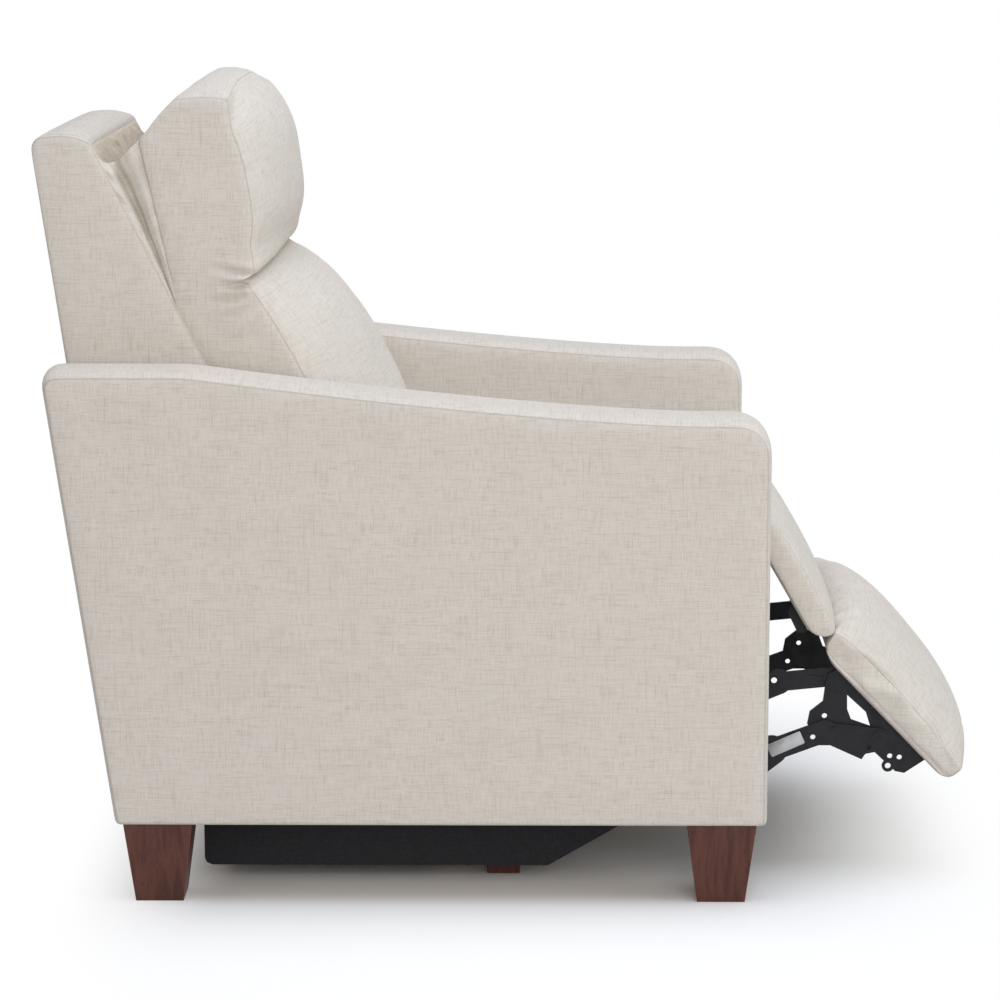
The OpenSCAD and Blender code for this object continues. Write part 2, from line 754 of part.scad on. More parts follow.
// Footrest linkage
module drive_shaft() {
    color(black_steel) {
        rod_x(-plate_x - side_plate_t + 0.5, 2 * (plate_x + side_plate_t) - 1, drive, shaft_r);
        across(-drive_x - crank_t / 2, crank_t) bar_2d(drive, foot_crank, crank_w);
        rod_x(-drive_x + crank_t / 2, crank_gap + crank_t + 1, foot_crank, pin_r);
    }
}
module rear_link(side) {
    color(black_steel) sided(side) {
        difference() {
            across(rear_link_x, link_t) bar_2d(drive, knee, rear_link_w);
            rod_x(rear_link_x - 1, link_t + 2, drive, shaft_r + run_gap);
            rod_x(rear_link_x - 1, link_t + 2, mix(drive, knee, 0.35), 6);
        }
        stud(rear_link_x, knee);
    }
}
module lower_link(side) {
    color(black_steel) sided(side) {
        difference() {
            across(lower_link_x, link_t) {
                bar_2d(knee, bend, lower_link_w);
                bar_2d(bend, elbow, lower_link_w - 10);
                bar_2d(elbow, tip, lower_link_w - 16);
                polygon([bend, bend - [0, 15], elbow - [-9, 19], elbow - [7, 19], tip + [22, -30], tip + [16, -21],
                    tip + [5, -17], tip + [-3, -4], tip + [2, 5], elbow + [0, 4]]);
            }
            stud_hole(lower_link_x, link_t, knee);
            for (p = [elbow + [16, -8], tip + [13, -13]]) rod_x(lower_link_x - 1, link_t + 2, p, link_hole_r);
        }
        for (p = [elbow + [-14, 2], mix(knee, bend, 0.78), tip])
            rod_x(lower_link_x + link_t, 2, p, p == tip ? pin_head_r : 5);
        stud(lower_link_x, tip);
    }
}
upper_hump = mix(cross_point, upper_pin, 0.72) + [2, 14];
module upper_link(side) {
    color(black_steel) sided(side) difference() {
        across(upper_link_x, link_t) {
            bar_2d(cross_point, upper_hump, upper_link_w);
            bar_2d(upper_hump, upper_pin, upper_link_w - 8);
        }
        stud_hole(upper_link_x, link_t, upper_pin);
        rod_x(upper_link_x - 1, link_t + 2, cross_point, 7);
        rod_x(upper_link_x - 1, link_t + 2, upper_hump + [6, 2], 4);
    }
}

// Footrest
bracket_end = pad_pivot_s + 66;
module footrest_bracket(side) {
    inner = pad_bracket_x - 20;
    lug = at(pad, pad_pivot_s + 38, -pad_pivot_t - 18);
    color(black_steel) sided(side) {
        difference() {
            across(pad_bracket_x, link_t) difference() {
                union() {
                    polygon([
                        at(pad, pad_pivot_s - 104, 0),
                        at(pad, pad_pivot_s - 108, -12),
                        at(pad, pad_pivot_s - 102, -pad_pivot_t),
                        at(pad, pad_pivot_s - 86, -pad_pivot_t - 20),
                        at(pad, pad_pivot_s - 88, -pad_pivot_t - 42),
                        at(pad, pad_pivot_s - 78, -pad_pivot_t - 56),
                        at(pad, pad_pivot_s - 52, -pad_pivot_t - 60),
                        at(pad, pad_pivot_s - 40, -pad_pivot_t - 50),
                        at(pad, pad_pivot_s + 2, -pad_pivot_t - 34),
                        at(pad, pad_pivot_s + 12, -pad_pivot_t - 18),
                        at(pad, pad_pivot_s + 50, -pad_pivot_t - 16),
                        at(pad, bracket_end - 6, -pad_pivot_t - 9),
                        at(pad, bracket_end, 0)
                    ]);
                    translate(lug) circle(r = 8, $fn = fine);
                }
                polygon([
                    at(pad, pad_pivot_s - 70, -15),
                    at(pad, pad_pivot_s - 36, -13),
                    at(pad, pad_pivot_s - 18, -22),
                    at(pad, pad_pivot_s - 42, -34),
                    at(pad, pad_pivot_s - 56, -28)
                ]);
                translate(lug) circle(r = 4, $fn = fine);
                translate(at(pad, pad_pivot_s + 30, -pad_pivot_t - 7)) circle(r = link_hole_r, $fn = fine);
                translate(at(pad, pad_pivot_s + 40, -pad_pivot_t + 1)) circle(r = link_hole_r, $fn = fine);
                translate(at(pad, pad_pivot_s - 70, -pad_pivot_t - 32)) circle(r = link_hole_r, $fn = fine);
            }
            stud_hole(pad_bracket_x, link_t, tip);
        }
        across(inner, 20) strip_2d(pad, pad_board_s + 2, pad_board_s + pad_board_l - 8, -3, 0);
        stud(pad_bracket_x, upper_pin);
    }
}
module footrest_board() {
    half = inner_x - pad_board_set;
    color(pale_wood) across(-half, 2 * half)
        strip_2d(pad, pad_board_s, pad_board_s + pad_board_l, 0, pad_board_t);
}
module footrest_pad() {
    half = inner_x - pad_board_set + soft_gap;
    side = [pad_len, pad_side_t, 38, 38, 16, 28, 0.12, 0];
    middle = [pad_len + pad_len_swell, pad_mid_t, 38, 46, 16, 32, 0.22, 0];
    color(linen) difference() {
        cushion(pad, inner_x, side, middle, 4);
        across(-half, 2 * half) strip_2d(pad, pad_board_s - soft_gap, pad_board_s + pad_board_l + soft_gap,
            -1, pad_board_t + soft_gap);
    }
}

// Leg pad below the seat's front
leg_board_s = leg_hinge_r + 16;
leg_board_l = leg_pad_len - leg_board_s - 8;
module leg_pad_board() {
    half = inner_x - pad_board_set;
    color(pale_wood) difference() {
        across(-half, 2 * half) strip_2d(leg_plane, leg_board_s, leg_board_s + leg_board_l, 0, leg_board_t);
        leg_hinge_room();
    }
}
// Slot behind the leg pad for its hinge plates and for the ears when the pad is folded down
module leg_hinge_room() {
    for (side = [-1, 1]) sided(side) across(leg_plate_x - soft_gap, ear_x + ear_t - leg_plate_x + 2 * soft_gap) {
        translate(leg_hinge) circle(r = 9.5, $fn = fine);
        strip_2d(leg_plane, -1, leg_hinge_z - seat_rail_z + leg_hinge_r, -1, ear_w + 2.2);
        strip_2d(leg_plane, 3, leg_board_s, -1, leg_hinge_r + 3);
    }
}
module leg_pad_brackets() {
    end = leg_board_s + leg_board_l;
    color(black_steel) for (side = [-1, 1]) sided(side) {
        across(leg_bracket_x, link_t) polygon([
            at(leg_plane, end - 40, 0),
            at(leg_plane, end, 0),
            at(leg_plane, end + 5, -6),
            at(leg_plane, end - 2, -14),
            at(leg_plane, end - 30, -12)
        ]);
        across(leg_bracket_x - 18, 18) strip_2d(leg_plane, end - 40, end - 2, -2.5, 0);
        difference() {
            across(leg_plate_x, link_t) {
                translate(leg_hinge) circle(r = 8.5, $fn = fine);
                strip_2d(leg_plane, leg_hinge_r, leg_board_s - soft_gap, 0.5, leg_hinge_r);
                strip_2d(leg_plane, leg_hinge_r, leg_board_s + 40, 0.5, 5.6);
            }
            stud_hole(leg_plate_x, link_t, leg_hinge);
        }
    }
}
module leg_pad() {
    half = inner_x - pad_board_set + soft_gap;
    r = leg_hinge_r;
    side = [leg_pad_len, leg_pad_side_t, r, r, 18, 20, 0, 0];
    middle = [leg_pad_len, leg_pad_mid_t, r, r, 22, 30, 0, 0];
    color(linen) difference() {
        cushion(leg_plane, inner_x, side, middle, 4);
        across(-half, 2 * half) strip_2d(leg_plane, leg_board_s - soft_gap,
            leg_board_s + leg_board_l + soft_gap, -1, leg_board_t + soft_gap);
        leg_hinge_room();
    }
}

// Actuators. Each rod ends in an upright slot that a crank pin runs in.
foot_rod_x = -drive_x + crank_t / 2 + crank_gap;
housing_front = -drive_y + foot_crank_r + 8;
foot_housing_l = 200;
foot_rod_l = 137;
motor_l = 95;
motor_r = drive_r - 2;
housing_rear = housing_front + foot_housing_l;
rod_hold = 30;
tube_w = 30;
tube_y = housing_rear + 16;
tube_z = foot_axis_z - drive_r - tube_w - soft_gap;
module slotted_end(x, y, low, high, side) {
    near = y - side * 12;
    far = y + side * (rod_start + 4);
    across(x, crank_t) difference() {
        polygon([[near, low - 12], [far, low - 12], [far, high + 12], [near, high + 12]]);
        bar_2d([y, low], [y, high], 2 * (pin_r + slot_play));
    }
}
module footrest_rod() {
    y = foot_crank[0];
    color(bright_steel) {
        slotted_end(foot_rod_x, y, foot_axis_z, foot_axis_z + 15, 1);
        translate([foot_rod_x + crank_t / 2, y + rod_start, foot_axis_z + 4]) rotate([-90, 0, 0])
            cylinder(h = foot_rod_l, r = rod_r, $fn = fine);
    }
}
module footrest_actuator() {
    x = foot_rod_x + crank_t / 2;
    z = foot_axis_z + 4;
    lug_z = tube_z + tube_w;
    color(black_steel) difference() {
        union() {
            translate([x, housing_front, z]) rotate([-90, 0, 0])
                cylinder(h = foot_housing_l, r = drive_r, $fn = fine);
            translate([x, housing_rear - 60, z - 2]) rotate([0, -90, 0])
                cylinder(h = motor_l, r = motor_r, $fn = fine);
            translate([x - 8, housing_rear - 6, lug_z]) cube([16, 6 + 16 + tube_w, z - lug_z]);
        }
        translate([x, housing_front - 1, z]) rotate([-90, 0, 0])
            cylinder(h = foot_housing_l - 14, r = rod_r + 0.3, $fn = fine);
    }
}
module actuator_tube() {
    color(black_steel) translate([-plate_x + soft_gap, tube_y, tube_z]) difference() {
        cube([2 * (plate_x - soft_gap), tube_w, tube_w]);
        translate([-1, 2, 2]) cube([2 * plate_x + 2, tube_w - 4, tube_w - 4]);
    }
}
back_rod_x = drive_x - crank_t / 2 - crank_gap - crank_t;
back_mount_y = cross_mid_y - 60;
back_housing_y = back_mount_y + 26;
back_housing_l = 190;
module recline_rod() {
    y = back_crank[0];
    mid = back_axis_z - 0.5;
    color(bright_steel) {
        slotted_end(back_rod_x, y, mid - 3, mid + 3, -1);
        translate([back_rod_x + crank_t / 2, y - rod_start, back_axis_z]) rotate([90, 0, 0])
            cylinder(h = y - rod_start - (back_housing_y + back_housing_l - rod_hold), r = rod_r, $fn = fine);
    }
}
module recline_actuator() {
    x = back_rod_x + crank_t / 2;
    y = back_housing_y;
    bar_z = rail_top - seat_rail_h + 6;
    color(black_steel) difference() {
        union() {
            translate([x, y, back_axis_z]) rotate([-90, 0, 0])
                cylinder(h = back_housing_l, r = drive_r, $fn = fine);
            translate([x, y + 40, back_axis_z - 2]) rotate([0, 90, 0])
                cylinder(h = motor_l - 5, r = motor_r, $fn = fine);
            translate([x - 8, back_mount_y, back_axis_z - 8]) cube([16, 30, bar_z + 10 - back_axis_z + 8]);
            translate([-seat_rail_in + soft_gap, back_mount_y, bar_z])
                cube([2 * (seat_rail_in - soft_gap), 20, 20]);
        }
        translate([x, y + 14, back_axis_z]) rotate([-90, 0, 0])
            cylinder(h = back_housing_l, r = rod_r + 0.3, $fn = fine);
    }
}

// Back
post_low_z = back_hinge_z + 38;
post_top_z = back_front_z - panel_t - 16;
function post_front(z) = wing_front(z) + soft_gap + web_t + soft_gap;
function post_poly(z0, z1) = [[post_front(z0), z0], [post_front(z0) + post_d, z0],
    [post_front(z1) + post_d, z1], [post_front(z1), z1]];
module back_posts() {
    color(pale_wood) for (side = [-1, 1]) sided(side)
        across(post_x - post_w, post_w) polygon(post_poly(post_low_z, post_top_z));
}
module back_rails() {
    rail = 40;
    width = 2 * (post_x - post_w);
    color(pale_wood) across(-width / 2, width) {
        polygon(post_poly(post_low_z, post_low_z + rail));
        polygon(post_poly(post_top_z - rail, post_top_z));
    }
    color(pale_wood) across(-width / 2, width) polygon([
        [post_front(post_low_z + 70) + post_d - 18, post_low_z + 70],
        [post_front(post_low_z + 70) + post_d, post_low_z + 70],
        [post_front(post_low_z + 110) + post_d, post_low_z + 110],
        [post_front(post_low_z + 110) + post_d - 18, post_low_z + 110]
    ]);
}
head_post_x = post_x - post_w;
head_arm_x = head_post_x - 8 - link_t - link_gap;
module back_brackets() {
    foot = [post_front(post_low_z) + post_d / 2, post_low_z + 14];
    brace = [post_front(post_low_z + 130) + post_d / 2, post_low_z + 130];
    color(black_steel) {
        for (side = [-1, 1]) sided(side) difference() {
            across(rear_link_x, link_t) {
                bar_2d(back_hinge, foot, 34);
                bar_2d(foot, brace, 30);
                bar_2d(back_hinge, brace, 24);
            }
            stud_hole(rear_link_x, link_t, back_hinge);
        }
        for (side = [-1, 1]) sided(side) translate([post_x, foot[0] - 8, post_low_z + 4])
            cube([rear_link_x - post_x, 16, 30]);
        across(drive_x - crank_t / 2, crank_t)
            bar_2d([foot[0] + post_d / 2 + 26, post_low_z + 18], back_crank, crank_w);
        across(drive_x - 20, 40) polygon([
            [post_front(post_low_z) + post_d + soft_gap, post_low_z],
            [post_front(post_low_z) + post_d + 18, post_low_z],
            [post_front(post_low_z + 36) + post_d + 12, post_low_z + 36],
            [post_front(post_low_z + 36) + post_d + soft_gap, post_low_z + 36]
        ]);
        rod_x(drive_x - crank_t / 2 - crank_gap - crank_t - 1, crank_gap + crank_t + 1, back_crank, pin_r);
        for (side = [-1, 1]) sided(side) {
            across(head_post_x - 8, 8) bar_2d(head_hinge,
                [post_front(head_hinge_z) + 20, head_hinge_z - 10], 18);
            stud(head_post_x - 8, head_hinge);
        }
    }
}
module back_webbing() {
    half = post_x - 4;
    gap = (head_hinge_z - 60 - post_low_z - 60) / (web_n - 1);
    color(black_cloth) across(-half, 2 * half) for (k = [0 : web_n - 1]) {
        z = post_low_z + 20 + k * gap;
        polygon([[wing_front(z) + soft_gap, z], [wing_front(z) + soft_gap + web_t, z],
            [wing_front(z + 46) + soft_gap + web_t, z + 46], [wing_front(z + 46) + soft_gap, z + 46]]);
    }
}
function wing_outline() = let(
    r = back_corner_r,
    rear = outer_back(back_top_z)
) concat(
    [[wing_front(wing_low_z), wing_low_z], [outer_back(wing_low_z), wing_low_z]],
    [for (i = [0 : arc_steps / 2]) let(a = 90 * i / (arc_steps / 2))
        [rear - r + r * cos(a), back_top_z - r + r * sin(a)]],
    [for (i = [1 : 3]) let(k = i / 3) [mix(rear - r, back_front_y + 6, k), mix(back_top_z, back_front_z + 6, k * k)]],
    [[back_front_y, back_front_z]]
);
module back_side(side) {
    color(linen) sided(side) padded_slab(wing_outline(), inner_x - panel_t, inner_x, 3, 0, wing_low_z);
}
module back_outer() {
    half = inner_x - panel_t - soft_gap;
    r = back_corner_r;
    rear = outer_back(back_top_z);
    t = panel_t;
    color(linen) across(-half, 2 * half) polygon(concat(
        [[outer_back(back_low_z) - t, back_low_z], [outer_back(back_low_z), back_low_z]],
        [for (i = [0 : arc_steps / 2]) let(a = 90 * i / (arc_steps / 2))
            [rear - r + r * cos(a), back_top_z - r + r * sin(a)]],
        [for (i = [1 : 3]) let(k = i / 3) [mix(rear - r, back_front_y + 6, k), mix(back_top_z, back_front_z + 6, k * k)]],
        [[back_front_y, back_front_z], [back_front_y, back_front_z - t],
            [outer_back(back_top_z - 24) - t, back_top_z - 24 - t / 2]]
    ));
}
module back_cushion() {
    side = [lumbar_h, lumbar_side_t, 12, 60, 8, 62, 0, 1.6];
    middle = [lumbar_h + lumbar_swell, lumbar_mid_t, 12, 110, 28, 130, -0.12, 1.6];
    color(linen) difference() {
        cushion(lumbar, inner_x - 5, side, middle, 4);
        head_hinge_room();
    }
}

// Headrest
board_s0 = 24;
board_s1 = head_h - 46;
module headrest_board() {
    half = head_arm_x + 40;
    color(pale_wood) across(-half, 2 * half)
        polygon([at(head, board_s0, 0), at(head, board_s1, 0),
            at(head, board_s1, 0) - [head_board_t, 0], at(head, board_s0, 0) - [head_board_t, 0]]);
    color(black_steel) for (side = [-1, 1]) sided(side) difference() {
        across(head_arm_x, link_t) {
            head_arm_2d(0);
            polygon([at(head, board_s0 + 8, 0), at(head, board_s0 + 8, 0) + [15, 0],
                at(head, board_s0 + 90, 0) + [8, 0], at(head, board_s0 + 90, 0)]);
        }
        stud_hole(head_arm_x, link_t, head_hinge);
    }
    color(black_steel) across(-crank_t / 2, crank_t) polygon([
        at(head, board_s0 + 4, 0), at(head, board_s0 + 50, 0), head_crank + [9, 8], head_crank + [9, -9],
        head_crank + [-9, -9]]);
    color(black_steel) rod_x(crank_t / 2, crank_gap + crank_t + 1, head_crank, pin_r);
}
module headrest_pillow() {
    half = head_arm_x + 40 + soft_gap;
    side = [head_h, head_side_t, 4, 6, 52, 62, -0.1, 0];
    middle = [head_h + head_swell, head_mid_t, 4, 6, 52, 74, -0.1, 0];
    g = soft_gap;
    color(linen) difference() {
        cushion(head, inner_x - 5, side, middle, 4);
        across(-half, 2 * half) polygon([
            at(head, board_s0 - g, 0) + [3, 0], at(head, board_s1 + g, 0) + [3, 0],
            at(head, board_s1 + g, 0) - [head_board_t + g, 0], at(head, board_s0 - g, 0) - [head_board_t + g, 0]]);
        head_hinge_room();
        for (end = [-1, 1]) sided(end) across(head_arm_x - g, link_t + 2 * g) head_arm_2d(2 * g);
    }
}
// Room around the hinge pins, in the soft pieces above and below them
module head_hinge_room() {
    for (end = [-1, 1]) sided(end) rod_x(head_arm_x - pin_head_t - 2, head_post_x - head_arm_x + pin_head_t + 3,
        head_hinge, 12);
}
module head_arm_2d(grow) {
    bar_2d(head_hinge, at(head, board_s0 + 14, 0) + [8, 0], 16 + grow);
}
head_rod_x = crank_t / 2 + crank_gap;
head_drive_z = post_low_z + 76;
head_housing_l = 130;
head_rod_l = 119;
module headrest_rod() {
    z = head_crank[1];
    y = head_crank[0];
    low = z - 14;
    color(bright_steel) {
        across(head_rod_x, crank_t) difference() {
            polygon([[y - 16, low], [y + 16, low], [y + 16, z + 14], [y - 16, z + 14]]);
            bar_2d([y - 2, z], [y + 2, z], 2 * (pin_r + slot_play));
        }
        translate([head_rod_x + crank_t / 2, y, low + 1 - head_rod_l])
            cylinder(h = head_rod_l, r = rod_r, $fn = fine);
    }
}
module headrest_actuator() {
    x = head_rod_x + crank_t / 2;
    y = head_crank[0];
    rail_rear = post_front(post_low_z + 104) + post_d;
    color(black_steel) difference() {
        union() {
            translate([x, y, head_drive_z + 10]) cylinder(h = head_housing_l, r = drive_r, $fn = fine);
            translate([x, y, head_drive_z + 40]) rotate([0, 90, 0])
                cylinder(h = motor_l - 5, r = motor_r, $fn = fine);
            translate([x - 12, rail_rear + soft_gap, head_drive_z]) cube([24, y - rail_rear, 26]);
        }
        translate([x, y, head_drive_z + 20]) cylinder(h = head_housing_l, r = rod_r + 0.3, $fn = fine);
    }
}

placed() arm(-1);  // arm_right
placed() arm(1);  // arm_left
placed() arm_frame(-1);  // arm_frame_right
placed() arm_frame(1);  // arm_frame_left
placed() leg(-1, leg_front_y);  // leg_front_right
placed() leg(1, leg_front_y);  // leg_front_left
placed() leg(-1, leg_rear_y);  // leg_rear_right
placed() leg(1, leg_rear_y);  // leg_rear_left
placed() leg_bolts();
placed() base_board(-1);  // base_board_right
placed() base_board(1);  // base_board_left
placed() base_cross_rails();
placed() support_feet();
placed() side_plate(-1);  // side_plate_right
placed() side_plate(1);  // side_plate_left
placed() seat_brackets();
placed() seat_rail_front();
placed() seat_rail_rear();
placed() seat_side_rails();
placed() seat_springs();
placed() seat_deck();
placed() seat_cushion();
placed() rear_panel();
placed() control_panel();
placed() power_inlet();
placed() footrest_actuator();
placed() recline_actuator();
placed() actuator_tube();
placed() drive_shaft();
placed() rear_link(-1);  // rear_link_right
placed() rear_link(1);  // rear_link_left
placed() lower_link(-1);  // lower_link_right
placed() lower_link(1);  // lower_link_left
placed() upper_link(-1);  // upper_link_right
placed() upper_link(1);  // upper_link_left
placed() footrest_bracket(-1);  // footrest_bracket_right
placed() footrest_bracket(1);  // footrest_bracket_left
placed() footrest_board();
placed() footrest_pad();
placed() leg_pad_board();
placed() leg_pad_brackets();
placed() leg_pad();
placed() footrest_rod();
placed() recline_rod();
placed() headrest_rod();
placed() back_posts();
placed() back_rails();
placed() back_brackets();
placed() back_webbing();
placed() back_side(-1);  // back_side_right
placed() back_side(1);  // back_side_left
placed() back_outer();
placed() back_cushion();
placed() headrest_actuator();
placed() headrest_board();
placed() headrest_pillow();
placed() button(0);  // button_recline
placed() button(1);  // button_return
placed() button(2);  // button_head_forward
placed() button(3);  // button_head_back
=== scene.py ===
import logging
import math
from dataclasses import dataclass, field, fields
from enum import Enum
from typing import Callable, ClassVar, Sequence

import bmesh
import bpy
from mathutils import Matrix, Vector, noise


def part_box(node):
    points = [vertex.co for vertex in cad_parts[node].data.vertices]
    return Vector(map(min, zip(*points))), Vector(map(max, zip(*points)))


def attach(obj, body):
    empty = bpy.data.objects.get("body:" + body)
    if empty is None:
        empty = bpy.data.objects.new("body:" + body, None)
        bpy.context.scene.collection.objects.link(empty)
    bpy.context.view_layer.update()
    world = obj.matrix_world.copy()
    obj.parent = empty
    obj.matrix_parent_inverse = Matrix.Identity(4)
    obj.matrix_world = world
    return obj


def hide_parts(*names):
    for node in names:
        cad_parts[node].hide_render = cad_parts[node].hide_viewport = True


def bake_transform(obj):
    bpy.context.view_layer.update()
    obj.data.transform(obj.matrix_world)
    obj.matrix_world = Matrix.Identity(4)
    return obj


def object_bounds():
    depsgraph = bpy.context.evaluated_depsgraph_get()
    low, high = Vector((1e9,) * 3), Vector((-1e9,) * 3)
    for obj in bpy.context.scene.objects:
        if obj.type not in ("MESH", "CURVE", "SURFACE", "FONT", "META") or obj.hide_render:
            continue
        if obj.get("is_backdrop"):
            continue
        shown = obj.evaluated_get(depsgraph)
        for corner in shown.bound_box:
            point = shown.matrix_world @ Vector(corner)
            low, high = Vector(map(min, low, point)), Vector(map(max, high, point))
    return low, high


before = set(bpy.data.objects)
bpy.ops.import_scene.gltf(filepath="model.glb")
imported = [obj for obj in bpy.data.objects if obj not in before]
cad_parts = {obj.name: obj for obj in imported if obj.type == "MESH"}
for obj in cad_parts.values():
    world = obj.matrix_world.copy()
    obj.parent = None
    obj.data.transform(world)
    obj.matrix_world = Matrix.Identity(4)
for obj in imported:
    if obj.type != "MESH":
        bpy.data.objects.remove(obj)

LOG = logging.getLogger("power_recliner")
MM = 0.001
LEG_FRONT = 311.0       # from the drawing's origin forward to the front legs' face, in millimetres
CROWN = (2.4, 0.75)     # the powers that keep a cushion's middle flat and its sides steep

Point = tuple[float, float]
Colour = tuple[float, float, float]
Scale = tuple[float, float, float]
Socket = bpy.types.NodeSocket
Line = list[Point]
Chain = list[tuple[Line, int]]
Sides = tuple[Chain, Chain, Chain, Chain]
Ring = tuple[list[Line], list[list[float]]]
SIDES_OF_CHAIR = ((-1, "right"), (1, "left"))


def frame_shift() -> float:
    """Return how far behind the drawing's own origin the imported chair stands, in millimetres."""
    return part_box("leg_front_right")[0].y / MM + LEG_FRONT


SHIFT = frame_shift()


def mix(a: float, b: float, k: float) -> float:
    """Return the value a share k of the way from a to b."""
    return a + (b - a) * k


def smooth(low: float, high: float, x: float) -> float:
    """Return an eased step from 0 at low to 1 at high."""
    k = min(1.0, max(0.0, (x - low) / (high - low)))
    return k * k * (3 - 2 * k)


def tan(degrees: float) -> float:
    """Return the tangent of an angle in degrees."""
    return math.tan(math.radians(degrees))


def mid(a: Point, b: Point, k: float) -> Point:
    """Return the point a share k of the way from a to b."""
    return (mix(a[0], b[0], k), mix(a[1], b[1], k))


def quarter(centre: Point, radius: float, start: float, steps: int, lift: float = 0.0) -> Line:
    """Return a quarter circle.

    Args:
        centre: The circle's centre.
        radius: Its radius.
        start: The angle that it starts at, in degrees.
        steps: How many steps it has.
        lift: How far its highest point is raised besides.

    Returns:
        steps + 1 points, the start first.
    """
    turns = [math.radians(start + 90 * i / steps) for i in range(steps + 1)]
    return [
        (centre[0] + radius * math.cos(a), centre[1] + radius * math.sin(a) + lift * math.sin(a))
        for a in turns
    ]


def in_drawing(co: Vector) -> Vector:
    """Return a mesh's point in the drawing's millimetres."""
    return Vector((co.x / MM, co.y / MM - SHIFT, co.z / MM))


def resample(line: Line, count: int) -> Line:
    """Space points evenly along a line.

    Args:
        line: The points of an open line.
        count: How many steps the result has.

    Returns:
        count + 1 points, with both ends kept.
    """
    lengths = [math.dist(a, b) for a, b in zip(line, line[1:])]
    total = sum(lengths)
    made, travelled, index = [], 0.0, 0
    for step in range(count + 1):
        goal = total * step / count
        while index < len(lengths) - 1 and travelled + lengths[index] < goal:
            travelled += lengths[index]
            index += 1
        length = lengths[index]
        k = 0.0 if length < 1e-9 else min(1.0, max(0.0, (goal - travelled) / length))
        made.append(mid(line[index], line[index + 1], k))
    return made


def run(chain: Chain) -> Line:
    """Join a side's stretches into one evenly stepped line.

    Args:
        chain: The stretches, each a line with its number of steps.

    Returns:
        The joined line, with each point that two stretches share taken once.
    """
    made: Line = []
    for line, count in chain:
        made.extend(resample(line, count)[0 if not made else 1:])
    return made


@dataclass(frozen=True)
class Plane:
    """A pad's own plane, seen from the side: its origin, the way along it and the way out of it."""

    origin: Point
    along: Point
    out: Point

    def at(self, s: float, t: float) -> Point:
        """Return the point s along the plane and t out of it.

        Args:
            s: The distance along the plane.
            t: The distance out of it.

        Returns:
            The point, in the side view.
        """
        return (
            self.origin[0] + s * self.along[0] + t * self.out[0],
            self.origin[1] + s * self.along[1] + t * self.out[1],
        )

    def place(self, line: Line) -> Line:
        """Return a line of plane points as points of the side view."""
        return [self.at(s, t) for s, t in line]


@dataclass(frozen=True)
class Section:
    """One section of a cushion: flat underside, rounded ends and a swollen top."""

    length: float
    top: float
    low_run: float
    low_rise: float
    high_run: float
    high_rise: float
    taper: float = 0.0
    slope: float = 0.0
    FULLNESS: ClassVar[Point] = (2.8, 0.42)
    END_STEPS: ClassVar[int] = 12

    def mixed(self, other: "Section", k: float) -> "Section":
        """Return the section a share k of the way to another one."""
        names = [item.name for item in fields(self)]
        return Section(*(mix(getattr(self, n), getattr(other, n), k) for n in names))

    def over(self, v: float) -> Point:
        """Return the top side's point at a share v of the length.

        Args:
            v: The share, from the low end.

        Returns:
            The point, in the section's own plane.
        """
        base = mix(self.low_rise, self.high_rise, v)
        full = (1 - abs(2 * v - 1) ** self.FULLNESS[0]) ** self.FULLNESS[1]
        return (self.length * v, base + (self.top * (1 - self.taper * (v - 0.5)) - base) * full)

    def top_line(self, v0: float, v1: float, steps: int = 60) -> Line:
        """Return the top side from share v0 to share v1, denser near both ends.

        Args:
            v0: The share that the line starts at.
            v1: The share that it ends at.
            steps: How many steps the whole length has.

        Returns:
            The line, in the section's own plane.
        """
        shares = [(1 - math.cos(math.pi * i / steps)) / 2 for i in range(steps + 1)]
        low, high = min(v0, v1), max(v0, v1)
        inner = [s for s in shares if low < s < high]
        if v0 > v1:
            inner.reverse()
        return [self.over(v) for v in [v0, *inner, v1]]

    def high_line(self) -> Line:
        """Return the high end from the underside to the top side.

        Returns:
            The line, in the section's own plane.
        """
        made = []
        start = self.length - self.high_run
        for i in range(self.END_STEPS + 1):
            k = i / self.END_STEPS
            angle = math.pi / 2 * k
            if self.slope:
                made.append((start + self.high_run * k ** self.slope, self.high_rise * k))
            else:
                made.append((
                    start + self.high_run * math.sin(angle),
                    self.high_rise - self.high_rise * math.cos(angle),
                ))
        return made

    def low_line(self) -> Line:
        """Return the low end from the top side to the underside.

        Returns:
            The line, in the section's own plane.
        """
        turns = [math.pi / 2 * i / self.END_STEPS for i in range(self.END_STEPS + 1)]
        return [
            (self.low_run - self.low_run * math.cos(a), self.low_rise - self.low_rise * math.sin(a))
            for a in turns
        ]

    def under_line(self) -> Line:
        """Return the flat underside from the low end to the high end."""
        return [(self.low_run, 0.0), (self.length - self.high_run, 0.0)]


def crown_share(f: float) -> float:
    """Return how much of the middle's swelling a section has, f being its share of the half width."""
    return (1 - min(1.0, abs(f)) ** CROWN[0]) ** CROWN[1]


